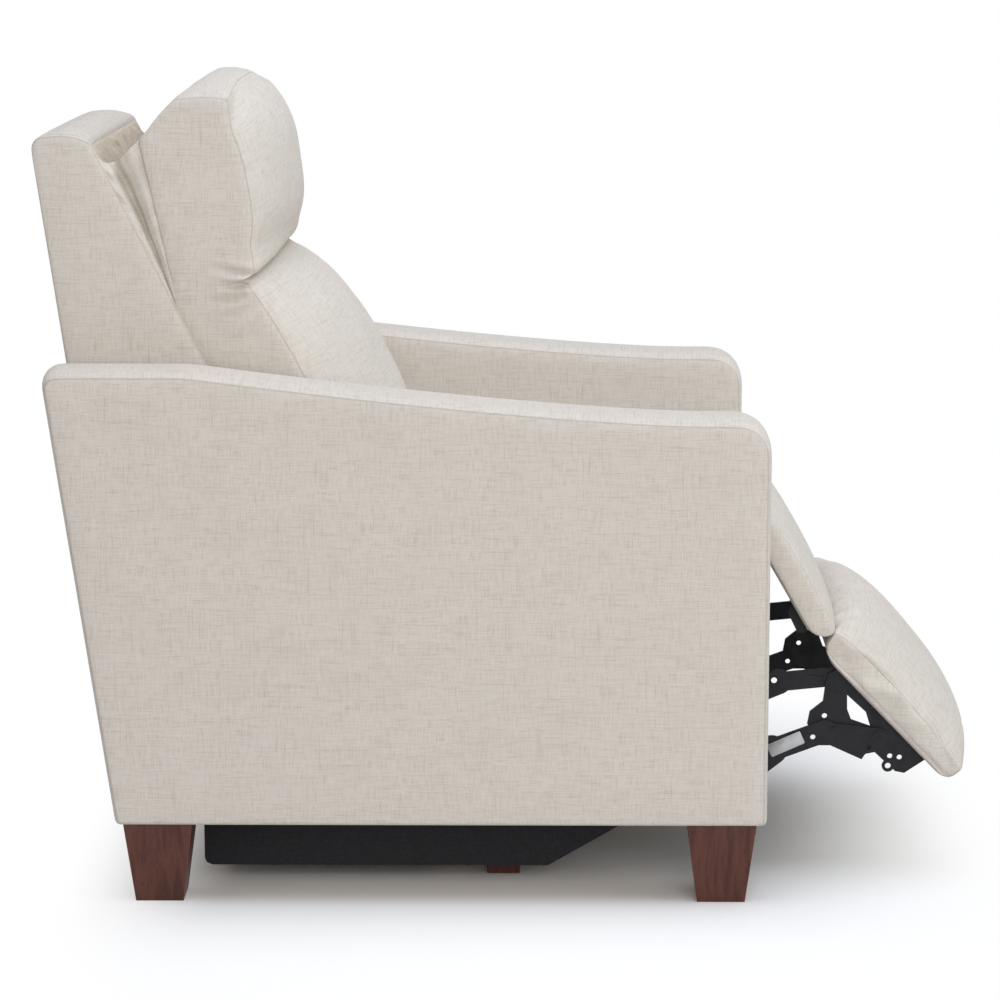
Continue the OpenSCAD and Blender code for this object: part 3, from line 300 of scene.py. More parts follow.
@dataclass
class PaddedForm:
    """A stuffed piece lofted across the chair, with a boxed side at each end.

    The form starts as a subdivided cube. Its faces become the underside, the high end, the top, the low end and
    the two boxed sides, and each keeps its own flat cloth coordinates.
    """

    name: str
    half: float
    sides: Callable[[float], Sides]
    pitch: float = 11.0
    draw_in: float = 2.6
    dome: float = 1.0
    seam_rows: dict[int, float] = field(default_factory=dict)
    cap_seam: int = 0
    end_seam: bool = False
    across: Sequence[float] = ()
    SEAM_STEP: ClassVar[float] = 2.4
    EDGE_STEPS: ClassVar[tuple[float, ...]] = (SEAM_STEP, 6.0, 12.0)
    INNER_STEP: ClassVar[float] = 21.0
    CAP_STEPS: ClassVar[tuple[float, ...]] = (SEAM_STEP, 0.7, 0.0)
    CAP_FADE: ClassVar[float] = 9.0
    SEWN_IN: ClassVar[float] = 1.6
    SIDE_CREASE: ClassVar[float] = 0.75
    END_CREASE: ClassVar[float] = 0.4
    # How strong the seam mask, and with it the painted seam shade, is on the boxed sides' seam row and along
    # the edge between the high end and the top.
    CAP_SEAM_LINE: ClassVar[float] = 0.95
    END_SEAM_LINE: ClassVar[float] = 0.9
    CAP_CLOTH: ClassVar[float] = 0.37
    SIDE_CLOTH: ClassVar[float] = 0.61

    def columns(self) -> list[float]:
        """Return the places across the piece, closer together by the side seams.

        Returns:
            The places, from the left boxed side to the right one, in millimetres.
        """
        if self.across:
            return list(self.across)
        edge = [self.half - step for step in self.EDGE_STEPS]
        inner = self.half - self.INNER_STEP
        count = max(3, round(2 * inner / self.pitch))
        middle = [inner - 2 * inner * i / count for i in range(count + 1)]
        return [*edge, *middle, *(-x for x in reversed(edge))]

    def build(self) -> bpy.types.Object:
        """Make the piece's mesh, its cloth coordinates and its seam mask.

        Returns:
            The new object, at the origin, with its place in its mesh.
        """
        places = self.columns()
        sample = [run(c) for c in self.sides(1.0)]
        nu, nv, nx = len(sample[0]) - 1, len(sample[1]) - 1, len(places) - 1
        bm = bmesh.new()
        bmesh.ops.create_cube(bm, size=1.0)
        for axis, count in ((0, nx), (1, nv), (2, nu)):
            if count > 1:
                cut = [e for e in bm.edges if abs(e.verts[0].co[axis] - e.verts[1].co[axis]) > 1e-5]
                bmesh.ops.subdivide_edges(bm, edges=cut, cuts=count - 1, use_grid_fill=True)
        seam = bm.verts.layers.float.new("seam")
        crease = bm.edges.layers.float.new("crease_edge")
        rings: dict[float, Ring] = {}
        grid = {
            v: (round((0.5 - v.co.x) * nx), round((v.co.y + 0.5) * nv), round((v.co.z + 0.5) * nu))
            for v in bm.verts
        }
        for v, (i, j, k) in grid.items():
            v.co = self.place(places[i], j, k, i in (0, nx), nu, nv, self.ring(places[i], rings)[0])
            v[seam] = self.seam_mask(i, j, k, nx, nu, nv)
        for e in bm.edges:
            (i0, j0, k0), (i1, j1, k1) = grid[e.verts[0]], grid[e.verts[1]]
            on_edge = all(j in (0, nv) or k in (0, nu) for j, k in ((j0, k0), (j1, k1)))
            if i0 == i1 and i0 in (0, nx) and on_edge:
                e[crease] = self.SIDE_CREASE
            elif k0 == k1 and k0 in self.seam_rows and i0 != i1 and j0 == j1 == nv:
                e[crease] = self.seam_rows[k0]
            elif self.end_seam and k0 == k1 == nu and j0 == j1 == nv:
                e[crease] = self.END_CREASE
        self.lay_cloth(bm, grid, places, rings, nx, nu, nv)
        bmesh.ops.recalc_face_normals(bm, faces=bm.faces)
        return as_object(bm, self.name)

    def ring(self, x: float, rings: dict[float, Ring]) -> Ring:
        """Return the four sides at a place across the piece, and the lengths run along each.

        Args:
            x: The place across the piece.
            rings: The sides made so far, by place.

        Returns:
            The four lines, and for each the length run at every point.
        """
        key = round(abs(x), 4)
        if key not in rings:
            lines = [run(c) for c in self.sides(min(1.0, key / (self.half - self.SEAM_STEP)))]
            arcs = []
            for line in lines:
                total, arc = 0.0, [0.0]
                for a, b in zip(line, line[1:]):
                    total += math.dist(a, b)
                    arc.append(total)
                arcs.append(arc)
            rings[key] = (lines, arcs)
        return rings[key]

    def place(self, x: float, j: int, k: int, cap: bool, nu: int, nv: int, lines: list[Line]) -> Vector:
        """Return where a grid point lies.

        Args:
            x: The place across the piece.
            j: The step from the underside to the top.
            k: The step from the low end to the high end.
            cap: Whether the point is on a boxed side.
            nu: The steps along the underside.
            nv: The steps along an end.
            lines: The four sides at x.

        Returns:
            The point, in the drawing's millimetres.
        """
        under, high, top, low = lines
        top_up = top[::-1]
        low_up = low[::-1]
        u, v = k / nu, j / nv
        if k == 0:
            y, z = low_up[j]
        elif k == nu:
            y, z = high[j]
        elif j == 0:
            y, z = under[k]
        elif j == nv:
            y, z = top_up[k]
        else:
            corners = (
                ((1 - u) * (1 - v), under[0]), ((1 - u) * v, top_up[0]),
                (u * (1 - v), under[nu]), (u * v, top_up[nu]))
            y, z = (
                (1 - v) * under[k][n] + v * top_up[k][n] + (1 - u) * low_up[j][n] + u * high[j][n]
                - sum(share * corner[n] for share, corner in corners)
                for n in (0, 1)
            )
        on_rim = j in (0, nv) or k in (0, nu)
        if cap:
            depth = min(j, nv - j, k, nu - k)
            bump = (1 - (2 * u - 1) ** 2) * (1 - (2 * v - 1) ** 2)
            sewn = self.SEWN_IN if self.cap_seam and j == self.cap_seam else 0.0
            out = self.half - self.CAP_STEPS[min(depth, 2)] + self.dome * bump - sewn
            x = out if x > 0 else -out
            fade = smooth(0.0, self.CAP_FADE, self.half - abs(x) - self.SEAM_STEP)
        else:
            fade = smooth(self.EDGE_STEPS[0], self.EDGE_STEPS[-1], self.half - abs(x))
        if on_rim and self.draw_in * (1 - fade):
            y, z = self.drawn((y, z), j, k, nu, nv, lines, self.draw_in * (1 - fade))
        return Vector((x, y, z))

    def drawn(self, p: Point, j: int, k: int, nu: int, nv: int, lines: list[Line], inset: float) -> Point:
        """Return a band point moved towards the inside of the section.

        Args:
            p: The point.
            j: Its step from the underside to the top.
            k: Its step from the low end to the high end.
            nu: The steps along the underside.
            nv: The steps along an end.
            lines: The four sides at its place across the piece.
            inset: How far it moves.

        Returns:
            The moved point.
        """
        under, high, top, low = lines
        ring = [*under[:-1], *high[:-1], *top[:-1], *low[:-1]]
        n = len(ring)
        if j == 0:
            index = k
        elif k == nu:
            index = nu + j
        elif j == nv:
            index = nu + nv + (nu - k)
        else:
            index = 2 * nu + nv + (nv - j)
        a, b = ring[(index - 1) % n], ring[(index + 1) % n]
        d = (b[0] - a[0], b[1] - a[1])
        length = math.hypot(*d) or 1.0
        area = sum(ring[i][0] * ring[(i + 1) % n][1] - ring[(i + 1) % n][0] * ring[i][1] for i in range(n))
        way = 1 if area > 0 else -1
        return (p[0] - way * d[1] / length * inset, p[1] + way * d[0] / length * inset)

    def seam_mask(self, i: int, j: int, k: int, nx: int, nu: int, nv: int) -> float:
        """Return 1 on the side seams and on the named seam rows, and 0 elsewhere.

        Args:
            i: The step across the piece.
            j: The step from the underside to the top.
            k: The step from the low end to the high end.
            nx: The steps across the piece.
            nu: The steps along the underside.
            nv: The steps along an end.

        Returns:
            The mask's value.
        """
        if i in (0, nx) and (j in (0, nv) or k in (0, nu)):
            return 1.0
        if i in (0, nx) and self.cap_seam and j == self.cap_seam:
            return self.CAP_SEAM_LINE
        if self.end_seam and k == nu and j == nv:
            return self.END_SEAM_LINE
        return 1.0 if k in self.seam_rows and j == nv else 0.0

    def lay_cloth(self, bm: bmesh.types.BMesh, grid: dict, places: list[float], rings: dict,
                  nx: int, nu: int, nv: int) -> None:
        """Give each face its flat cloth coordinates, in metres.

        Args:
            bm: The mesh.
            grid: Each point's steps across, up and along.
            places: The places across the piece.
            rings: The sides made so far, by place.
            nx: The steps across the piece.
            nu: The steps along the underside.
            nv: The steps along an end.
        """
        uv = bm.loops.layers.uv.new("cloth")
        for face in bm.faces:
            spots = [grid[v] for v in face.verts]
            cap = all(s[0] == spots[0][0] for s in spots) and spots[0][0] in (0, nx)
            if cap:
                for loop in face.loops:
                    loop[uv].uv = (loop.vert.co.y * MM + self.CAP_CLOTH, loop.vert.co.z * MM)
                continue
            if all(s[1] == 0 for s in spots):
                side, pick = 0, lambda s: s[2]
            elif all(s[2] == nu for s in spots):
                side, pick = 1, lambda s: s[1]
            elif all(s[1] == nv for s in spots):
                side, pick = 2, lambda s: nu - s[2]
            else:
                side, pick = 3, lambda s: nv - s[1]
            for loop in face.loops:
                spot = grid[loop.vert]
                arc = self.ring(0.0, rings)[1][side][pick(spot)]
                loop[uv].uv = (places[spot[0]] * MM, arc * MM + self.SIDE_CLOTH * side)


def as_object(bm: bmesh.types.BMesh, name: str) -> bpy.types.Object:
    """Turn a bmesh drawn in millimetres into an object at the origin.

    Args:
        bm: The mesh, which is freed.
        name: The object's name.

    Returns:
        The new object, already moved to where the frame stands.
    """
    bmesh.ops.transform(bm, matrix=Matrix.Translation((0, SHIFT, 0)), verts=bm.verts)
    bmesh.ops.transform(bm, matrix=Matrix.Scale(MM, 4), verts=bm.verts)
    mesh = bpy.data.meshes.new(name)
    bm.to_mesh(mesh)
    bm.free()
    mesh.shade_smooth()
    obj = bpy.data.objects.new(name, mesh)
    bpy.context.scene.collection.objects.link(obj)
    return obj


def subdivide(obj: bpy.types.Object) -> None:
    """Round a piece with one step of a subdivision surface.

    Args:
        obj: The piece.
    """
    rounding = obj.modifiers.new("rounding", "SUBSURF")
    rounding.levels = rounding.render_levels = 1
    rounding.uv_smooth = "PRESERVE_BOUNDARIES"


def sculpt(obj: bpy.types.Object, move: Callable[[Vector], Vector]) -> None:
    """Move each point of a piece by a rule given in the drawing's millimetres.

    Args:
        obj: The piece.
        move: Takes a point and returns how far it moves.
    """
    bm = bmesh.new()
    bm.from_mesh(obj.data)
    for v in bm.verts:
        v.co += move(in_drawing(v.co)) * MM
    bm.to_mesh(obj.data)
    bm.free()


@dataclass(frozen=True)
class Filling:
    """How a cushion is filled: a short cloth simulation under air pressure, from which its shape is kept."""

    pressure: float = 3.0
    furthest: float = 4.0
    frames: int = 18
    quality: int = 6
    mass: float = 0.25
    stretch: float = 18.0
    shear: float = 8.0
    bending: float = 0.6
    shrink: float = -0.03
    loose: float = 0.1

    def fill(self, obj: bpy.types.Object, held: Callable[[Vector], bool]) -> None:
        """Swell a closed piece, no point of it further than the limit.

        Args:
            obj: The piece.
            held: Whether a point, in the drawing's millimetres, is held firmly.
        """
        rest = [v.co.copy() for v in obj.data.vertices]
        group = obj.vertex_groups.new(name="hold")
        for v in obj.data.vertices:
            group.add([v.index], 1.0 if held(in_drawing(v.co)) else self.loose, "REPLACE")
        moved = self.simulate(obj, group)
        obj.vertex_groups.remove(group)
        limit = self.furthest * MM
        for v, a, b in zip(obj.data.vertices, rest, moved):
            step = b - a
            if step.length > limit:
                step *= limit / step.length
            v.co = a + step

    def simulate(self, obj: bpy.types.Object, group: bpy.types.VertexGroup) -> list[Vector]:
        """Run the cloth and return where its points end, with the modifier taken off again.

        Args:
            obj: The piece.
            group: How firmly each of its points is held.

        Returns:
            The places of the points, in the mesh's order.
        """
        cloth = obj.modifiers.new("filling", "CLOTH")
        settings = cloth.settings
        settings.quality = self.quality
        settings.mass = self.mass
        settings.tension_stiffness = settings.compression_stiffness = self.stretch
        settings.shear_stiffness = self.shear
        settings.bending_stiffness = self.bending
        settings.use_pressure = True
        settings.uniform_pressure_force = self.pressure
        settings.vertex_group_mass = group.name
        settings.shrink_min = self.shrink
        settings.effector_weights.gravity = 0
        cloth.point_cache.frame_start, cloth.point_cache.frame_end = 1, self.frames
        scene = bpy.context.scene
        for number in range(1, self.frames + 1):
            scene.frame_set(number)
        shaped = obj.evaluated_get(bpy.context.evaluated_depsgraph_get())
        moved = [v.co.copy() for v in shaped.data.vertices]
        obj.modifiers.remove(cloth)
        scene.frame_set(1)
        return moved


class Graph:
    """Builds a node tree with short calls."""

    def __init__(self, tree: bpy.types.NodeTree) -> None:
        """Keep the tree to build in."""
        self.tree = tree

    def node(self, kind: str, attributes: dict | None = None, inputs: dict | None = None) -> bpy.types.Node:
        """Add a node.

        Args:
            kind: The node's type, without its common prefix.
            attributes: Properties of the node.
            inputs: Values or sockets for its inputs, by name or number.

        Returns:
            The new node.
        """
        made = self.tree.nodes.new(kind if kind.startswith("NodeGroup") else "ShaderNode" + kind)
        for key, value in (attributes or {}).items():
            setattr(made, key, value)
        self.feed(made, inputs or {})
        return made

    def feed(self, node: bpy.types.Node, inputs: dict) -> None:
        """Link sockets to a node's inputs, or set their values, by name or number.

        Args:
            node: The node.
            inputs: The values or sockets.
        """
        for key, value in inputs.items():
            if isinstance(value, Socket):
                self.tree.links.new(value, node.inputs[key])
            else:
                node.inputs[key].default_value = value

    def use(self, group: bpy.types.NodeTree, inputs: dict | None = None) -> bpy.types.bpy_prop_collection:
        """Place a shared effect and return its outputs."""
        return self.node("Group", {"node_tree": group}, inputs).outputs

    def math(self, operation: str, *values: float | Socket, clamp: bool = False) -> Socket:
        """Add a Math node and return its result."""
        made = self.node("Math", {"operation": operation, "use_clamp": clamp}, dict(enumerate(values)))
        return made.outputs[0]

    def step(self, value: Socket, low: float | Socket, high: float | Socket) -> Socket:
        """Return an eased step of a value between two limits.

        Args:
            value: The value.
            low: The limit that gives 0.
            high: The limit that gives 1.

        Returns:
            The step, from 0 to 1.
        """
        made = self.node("MapRange", {"interpolation_type": "SMOOTHSTEP"},
                         {"Value": value, "From Min": low, "From Max": high})
        return made.outputs["Result"]

    def noise(self, vector: Socket, scale: Sequence[float], detail: float, offset: float) -> Socket:
        """Return a noise stretched along the axes.

        Args:
            vector: The coordinates.
            scale: The noise's scale along each axis.
            detail: Its detail.
            offset: How far it is moved, so that no two noises are alike.

        Returns:
            The noise, between 0 and 1.
        """
        location = (offset, offset * 1.7, offset * 0.3)
        placed = self.node("Mapping", {}, {"Vector": vector, "Location": location, "Scale": scale})
        inputs = {"Vector": placed.outputs[0], "Scale": 1.0, "Detail": detail, "Roughness": 0.6}
        return self.node("TexNoise", {}, inputs).outputs["Fac"]

    def scaled(self, vector: Socket, factor: Socket) -> Socket:
        """Return coordinates times a number."""
        return self.node("VectorMath", {"operation": "SCALE"}, {0: vector, "Scale": factor}).outputs[0]

    def blend(self, factor: Socket, a: Colour | Socket, b: Colour | Socket) -> Socket:
        """Return a colour mixed from two."""
        ends = {key: c if isinstance(c, Socket) else (*c, 1.0) for key, c in ((6, a), (7, b))}
        return self.node("Mix", {"data_type": "RGBA"}, {0: factor, **ends}).outputs[2]

    def either(self, factor: Socket, a: float | Socket, b: float | Socket) -> Socket:
        """Return a number mixed from two."""
        return self.node("Mix", {"data_type": "FLOAT"}, {0: factor, 2: a, 3: b}).outputs[0]

    def bump(self, strength: float, distance: float, height: Socket) -> Socket:
        """Return a normal raised by a height."""
        inputs = {"Strength": strength, "Distance": distance, "Height": height}
        return self.node("Bump", {}, inputs).outputs[0]

    def seen(self) -> Socket:
        """Return 1 on rays of the camera and on those that gloss or glass sends on.

        Returns:
            1 on those rays and 0 on all others.
        """
        path = self.node("LightPath").outputs
        mirrored = self.math("MAXIMUM", path["Is Glossy Ray"], path["Is Transmission Ray"])
        return self.math("MAXIMUM", path["Is Camera Ray"], mirrored)


class Effects:
    """The shared effects: weave, grain, mottle, seam line and edge wear, each one node group."""

    SLUB: ClassVar[Point] = (0.022, 0.62)
    SLUB_EDGE: ClassVar[Point] = (0.50, 0.78)
    SLUB_HEIGHT: ClassVar[float] = 0.45
    FIBRE: ClassVar[Point] = (0.08, 1.7)
    FIBRE_EDGE: ClassVar[Point] = (0.46, 0.66)
    PATCH: ClassVar[Scale] = (0.03, 0.03, 1)
    PATCH_EDGE: ClassVar[Point] = (0.30, 0.66)
    BEND: ClassVar[Scale] = (0.5, 0.5, 0.12)
    STREAK: ClassVar[Scale] = (3.2, 3.2, 0.16)
    STREAK_EDGE: ClassVar[Point] = (0.34, 0.70)
    PORE: ClassVar[Scale] = (22.0, 22.0, 0.9)
    PORE_EDGE: ClassVar[Point] = (0.60, 0.72)
    GRAIN_HEIGHTS: ClassVar[Point] = (0.4, 0.8)
    CLOUD: ClassVar[Scale] = (0.1, 0.1, 0.1)
    CLOUD_EDGE: ClassVar[Point] = (0.32, 0.70)
    SCRATCH: ClassVar[Scale] = (0.35, 7.0, 2.0)
    SCRATCH_EDGE: ClassVar[Point] = (0.60, 0.74)
    SCRATCH_DEPTH: ClassVar[float] = 0.3
    PEEL: ClassVar[Scale] = (3.0, 3.0, 3.0)
    SEAM_EDGE: ClassVar[Point] = (0.62, 1.0)
    WEAR_SAMPLES: ClassVar[int] = 4

    def __init__(self) -> None:
        """Make the groups."""
        self.weave = self.group("plain_weave", ("Vector", "Threads", "Slubs"), self.fill_weave)
        self.grain = self.group("wood_grain", ("Vector", "Rings"), self.fill_grain)
        self.mottle = self.group("surface_mottle", ("Vector", "Scale"), self.fill_mottle)
        self.seam = self.group("seam_line", (), self.fill_seam)
        self.wear = self.group("edge_wear", ("Radius", "Sharp", "Worn"), self.fill_wear)

    def group(self, name: str, values: Sequence[str],
              fill: Callable[[Graph, bpy.types.bpy_prop_collection], dict[str, Socket]]) -> bpy.types.NodeTree:
        """Make a node group with named sockets.

        Args:
            name: The group's name.
            values: Its inputs, numbers but for the Vector.
            fill: Builds the inside from the inputs, and gives the outputs by name.

        Returns:
            The group.
        """
        tree = bpy.data.node_groups.new(name, "ShaderNodeTree")
        for value in values:
            kind = "NodeSocketVector" if value == "Vector" else "NodeSocketFloat"
            tree.interface.new_socket(value, in_out="INPUT", socket_type=kind)
        graph = Graph(tree)
        results = fill(graph, graph.node("NodeGroupInput").outputs)
        for result in results:
            tree.interface.new_socket(result, in_out="OUTPUT", socket_type="NodeSocketFloat")
        graph.feed(graph.node("NodeGroupOutput"), results)
        return tree

    def fill_weave(self, g: Graph, start: bpy.types.bpy_prop_collection) -> dict[str, Socket]:
        """Cross threads of uneven thickness, in long and short slubs both ways.

        Args:
            g: The group's graph.
            start: The group's inputs.

        Returns:
            The outputs, by name.
        """
        v = g.scaled(start["Vector"], start["Threads"])
        weft = g.step(g.noise(v, (*self.SLUB, 1), 2.0, 3.1), *self.SLUB_EDGE)
        warp = g.step(g.noise(v, (*self.SLUB[::-1], 1), 2.0, 9.7), *self.SLUB_EDGE)
        fine_weft = g.noise(v, (*self.FIBRE, 1), 1.0, 5.3)
        fine_warp = g.noise(v, (*self.FIBRE[::-1], 1), 1.0, 2.9)
        patches = g.noise(v, self.PATCH, 3.0, 7.7)
        long_slubs = g.math("MAXIMUM", weft, warp)
        strength = g.math("MULTIPLY", long_slubs, g.step(patches, *self.PATCH_EDGE))
        fine = g.math("MULTIPLY", g.math("ADD", fine_weft, fine_warp), 0.5)
        lines = g.math("ADD", g.math("MULTIPLY", strength, start["Slubs"]), g.step(fine, *self.FIBRE_EDGE))
        return {
            "Streaks": g.math("MULTIPLY", lines, 0.5, clamp=True),
            "Patches": patches,
            "Height": g.math("ADD", fine, g.math("MULTIPLY", long_slubs, self.SLUB_HEIGHT)),
        }

    def fill_grain(self, g: Graph, start: bpy.types.bpy_prop_collection) -> dict[str, Socket]:
        """Long wood streaks along Z, with short pores.

        Args:
            g: The group's graph.
            start: The group's inputs.

        Returns:
            The outputs, by name.
        """
        v = g.scaled(start["Vector"], start["Rings"])
        bend = g.noise(v, self.BEND, 2.0, 1.0)
        sideways = g.node("CombineXYZ", {}, {0: bend, 1: bend, 2: 0.0}).outputs[0]
        warped = g.node("VectorMath", {"operation": "ADD"}, {0: v, 1: sideways}).outputs[0]
        streaks = g.step(g.noise(warped, self.STREAK, 4.0, 4.0), *self.STREAK_EDGE)
        pores = g.step(g.noise(warped, self.PORE, 1.0, 6.0), *self.PORE_EDGE)
        raised, sunk = self.GRAIN_HEIGHTS
        height = g.math("SUBTRACT", g.math("MULTIPLY", streaks, raised), g.math("MULTIPLY", pores, sunk))
        return {"Streaks": streaks, "Pores": pores, "Height": height}

    def fill_mottle(self, g: Graph, start: bpy.types.bpy_prop_collection) -> dict[str, Socket]:
        """Clouds, orange peel and fine scuffs of a coated or moulded surface.

        Args:
            g: The group's graph.
            start: The group's inputs.

        Returns:
            The outputs, by name.
        """
        v = g.scaled(start["Vector"], start["Scale"])
        cloud = g.step(g.noise(v, self.CLOUD, 3.0, 2.0), *self.CLOUD_EDGE)
        scratches = g.step(g.noise(v, self.SCRATCH, 2.0, 8.0), *self.SCRATCH_EDGE)
        peel = g.noise(v, self.PEEL, 2.0, 5.0)
        height = g.math("SUBTRACT", peel, g.math("MULTIPLY", scratches, self.SCRATCH_DEPTH))
        return {"Cloud": cloud, "Scratches": scratches, "Height": height}

    def fill_seam(self, g: Graph, start: bpy.types.bpy_prop_collection) -> dict[str, Socket]:
        """The narrow line along a seam, from the piece's own mask; the cloth darkens it with painted shade and
        sinks it as a bump.
        """
        mask = g.node("Attribute", {"attribute_name": "seam"}).outputs["Fac"]
        return {"Line": g.step(mask, *self.SEAM_EDGE)}

    def fill_wear(self, g: Graph, start: bpy.types.bpy_prop_collection) -> dict[str, Socket]:
        """Where an edge is rubbed, from how far the rounded surface turns away from the flat one.

        Args:
            g: The group's graph.
            start: The group's inputs.

        Returns:
            The outputs, by name.
        """
        rounded = g.node("Bevel", {"samples": self.WEAR_SAMPLES}, {"Radius": start["Radius"]}).outputs[0]
        flat = g.node("NewGeometry").outputs["Normal"]
        turn = g.node("VectorMath", {"operation": "DOT_PRODUCT"}, {0: rounded, 1: flat}).outputs["Value"]
        return {"Wear": g.step(turn, start["Sharp"], start["Worn"])}


def shaded(colour: Colour, share: float) -> Colour:
    """Return a colour made lighter or darker."""
    return tuple(min(1.0, c * share) for c in colour)


@dataclass(frozen=True)
class Cloth:
    """A woven or felted finish."""

    name: str
    thread: Colour
    slub: Colour
    threads: float
    slubs: float
    bump: float
    sheen: float
    on_cloth: bool = True
    PATCH_SHADE: ClassVar[float] = 0.955
    PATCH_SHARE: ClassVar[float] = 0.35
    PATCH_EDGE: ClassVar[Point] = (0.35, 0.7)
    # A darker line along every seam, from the seam mask: painted shade of the seam's groove and of where the
    # cloth meets or tucks under a neighbouring part.
    SEAM_SHADE: ClassVar[float] = 0.62
    SEAM_SHARE: ClassVar[float] = 0.34
    SEAM_DEPTH: ClassVar[float] = 1.6
    ROUGHNESS: ClassVar[float] = 0.95
    THREAD_GLOSS: ClassVar[float] = 0.10
    RELIEF: ClassVar[float] = 0.0006

    def material(self, effects: Effects) -> bpy.types.Material:
        """Return the finish as a material.

        Args:
            effects: The shared node groups.

        Returns:
            The new material.
        """
        made, g, shader = new_material(self.name)
        vector = g.node("UVMap", {"uv_map": "cloth"}).outputs[0] if self.on_cloth else turned_coordinates(g)
        weave = g.use(effects.weave, {"Vector": vector, "Threads": self.threads, "Slubs": self.slubs})
        line = g.use(effects.seam)["Line"]
        patches = g.math("MULTIPLY", g.step(weave["Patches"], *self.PATCH_EDGE), self.PATCH_SHARE)
        colour = g.blend(weave["Streaks"], self.thread, self.slub)
        colour = g.blend(patches, colour, shaded(self.thread, self.PATCH_SHADE))
        # Painted shade along the seams.
        colour = g.blend(g.math("MULTIPLY", line, self.SEAM_SHARE), colour, shaded(self.slub, self.SEAM_SHADE))
        height = g.math("SUBTRACT", weave["Height"], g.math("MULTIPLY", line, self.SEAM_DEPTH))
        gloss = g.math("MULTIPLY", weave["Height"], self.THREAD_GLOSS)
        g.feed(shader, {
            "Base Color": colour,
            "Roughness": g.math("SUBTRACT", self.ROUGHNESS, gloss),
            "Normal": g.bump(self.bump, self.RELIEF, height),
            "Sheen Weight": self.sheen,
            "Sheen Roughness": 0.5,
            "Specular IOR Level": 0.2,
        })
        return made


@dataclass(frozen=True)
class Wood:
    """A wooden finish, raw or lacquered."""

    name: str
    light: Colour
    dark: Colour
    rings: float
    roughness: float
    coat: float
    PORE_SHADE: ClassVar[float] = 0.45
    PORE_SHARE: ClassVar[float] = 0.45
    PORE_DULLNESS: ClassVar[float] = 0.16
    EDGE: ClassVar[dict[str, float]] = {"Radius": 0.0022, "Sharp": 0.995, "Worn": 0.93}
    WORN_SHADE: ClassVar[float] = 2.3
    WORN_SHARE: ClassVar[float] = 0.45
    BUMP: ClassVar[Point] = (0.18, 0.0004)

    def material(self, effects: Effects) -> bpy.types.Material:
        """Return the finish as a material.

        Args:
            effects: The shared node groups.

        Returns:
            The new material.
        """
        made, g, shader = new_material(self.name)
        vector = g.node("TexCoord").outputs["Object"]
        grain = g.use(effects.grain, {"Vector": vector, "Rings": self.rings})
        wear = g.math("MULTIPLY", g.use(effects.wear, self.EDGE)["Wear"], self.WORN_SHARE)
        pores = g.math("MULTIPLY", grain["Pores"], self.PORE_SHARE)
        colour = g.blend(grain["Streaks"], self.light, self.dark)
        colour = g.blend(pores, colour, shaded(self.dark, self.PORE_SHADE))
        dull = g.math("MULTIPLY", grain["Pores"], self.PORE_DULLNESS)
        g.feed(shader, {
            "Base Color": g.blend(wear, colour, shaded(self.light, self.WORN_SHADE)),
            "Roughness": g.math("ADD", dull, self.roughness),
            "Normal": g.bump(*self.BUMP, grain["Height"]),
            "Specular IOR Level": 0.25,
            "Coat Weight": self.coat,
            "Coat Roughness": 0.22,
        })
        return made


@dataclass(frozen=True)
class Hard:
    """A coated steel, bare steel or moulded plastic finish."""

    name: str
    colour: Colour
    worn: Colour
    metallic: float
    roughness: float
    scale: float
    bump: float
    CLOUD_SHADE: ClassVar[float] = 0.7
    CLOUD_SHARE: ClassVar[float] = 0.5
    CLOUD_DULLNESS: ClassVar[float] = 0.14
    EDGE: ClassVar[dict[str, float]] = {"Radius": 0.0009, "Sharp": 0.99, "Worn": 0.85}
    WORN_SHARE: ClassVar[float] = 0.55
    SCRATCH_SHARE: ClassVar[float] = 0.18
    RELIEF: ClassVar[float] = 0.0003

    def material(self, effects: Effects) -> bpy.types.Material:
        """Return the finish as a material.

        Args:
            effects: The shared node groups.

        Returns:
            The new material.
        """
        made, g, shader = new_material(self.name)
        vector = g.node("TexCoord").outputs["Object"]
        mottle = g.use(effects.mottle, {"Vector": vector, "Scale": self.scale})
        cloud = g.math("MULTIPLY", mottle["Cloud"], self.CLOUD_SHARE)
        colour = g.blend(cloud, self.colour, shaded(self.colour, self.CLOUD_SHADE))
        wear = g.math("MULTIPLY", g.use(effects.wear, self.EDGE)["Wear"], self.WORN_SHARE)
        marks = g.math("MAXIMUM", wear, g.math("MULTIPLY", mottle["Scratches"], self.SCRATCH_SHARE))
        dull = g.math("MULTIPLY", mottle["Cloud"], self.CLOUD_DULLNESS)
        g.feed(shader, {
            "Base Color": g.blend(marks, colour, self.worn),
            "Roughness": g.math("ADD", dull, self.roughness),
            "Normal": g.bump(self.bump, self.RELIEF, mottle["Height"]),
            "Metallic": self.metallic,
            "Specular IOR Level": 0.35,
        })
        return made


def new_material(name: str) -> tuple[bpy.types.Material, Graph, bpy.types.Node]:
    """Return a fresh material, its graph and its shader.

    Args:
        name: The finish's name.

    Returns:
        The material, the graph and the shader.
    """
    made = bpy.data.materials.new("finish_" + name)
    made.use_nodes = True
    return made, Graph(made.node_tree), made.node_tree.nodes["Principled BSDF"]


def turned_coordinates(g: Graph, steep: float = 0.7) -> Socket:
    """Return flat coordinates on a hard-edged piece: the two axes that its surface runs along.

    Args:
        g: The material's graph.
        steep: The share of the normal from which a surface faces an axis.

    Returns:
        The coordinates.
    """
    place = g.node("SeparateXYZ", {}, {0: g.node("TexCoord").outputs["Object"]}).outputs
    normal = g.node("SeparateXYZ", {}, {0: g.node("NewGeometry").outputs["Normal"]}).outputs
    sideways = g.math("GREATER_THAN", g.math("ABSOLUTE", normal[0]), steep)
    flat = g.math("GREATER_THAN", g.math("ABSOLUTE", normal[2]), steep)
    across = g.either(sideways, place[0], place[1])
    along = g.either(flat, place[2], place[1])
    return g.node("CombineXYZ", {}, {0: across, 1: along, 2: 0.0}).outputs[0]


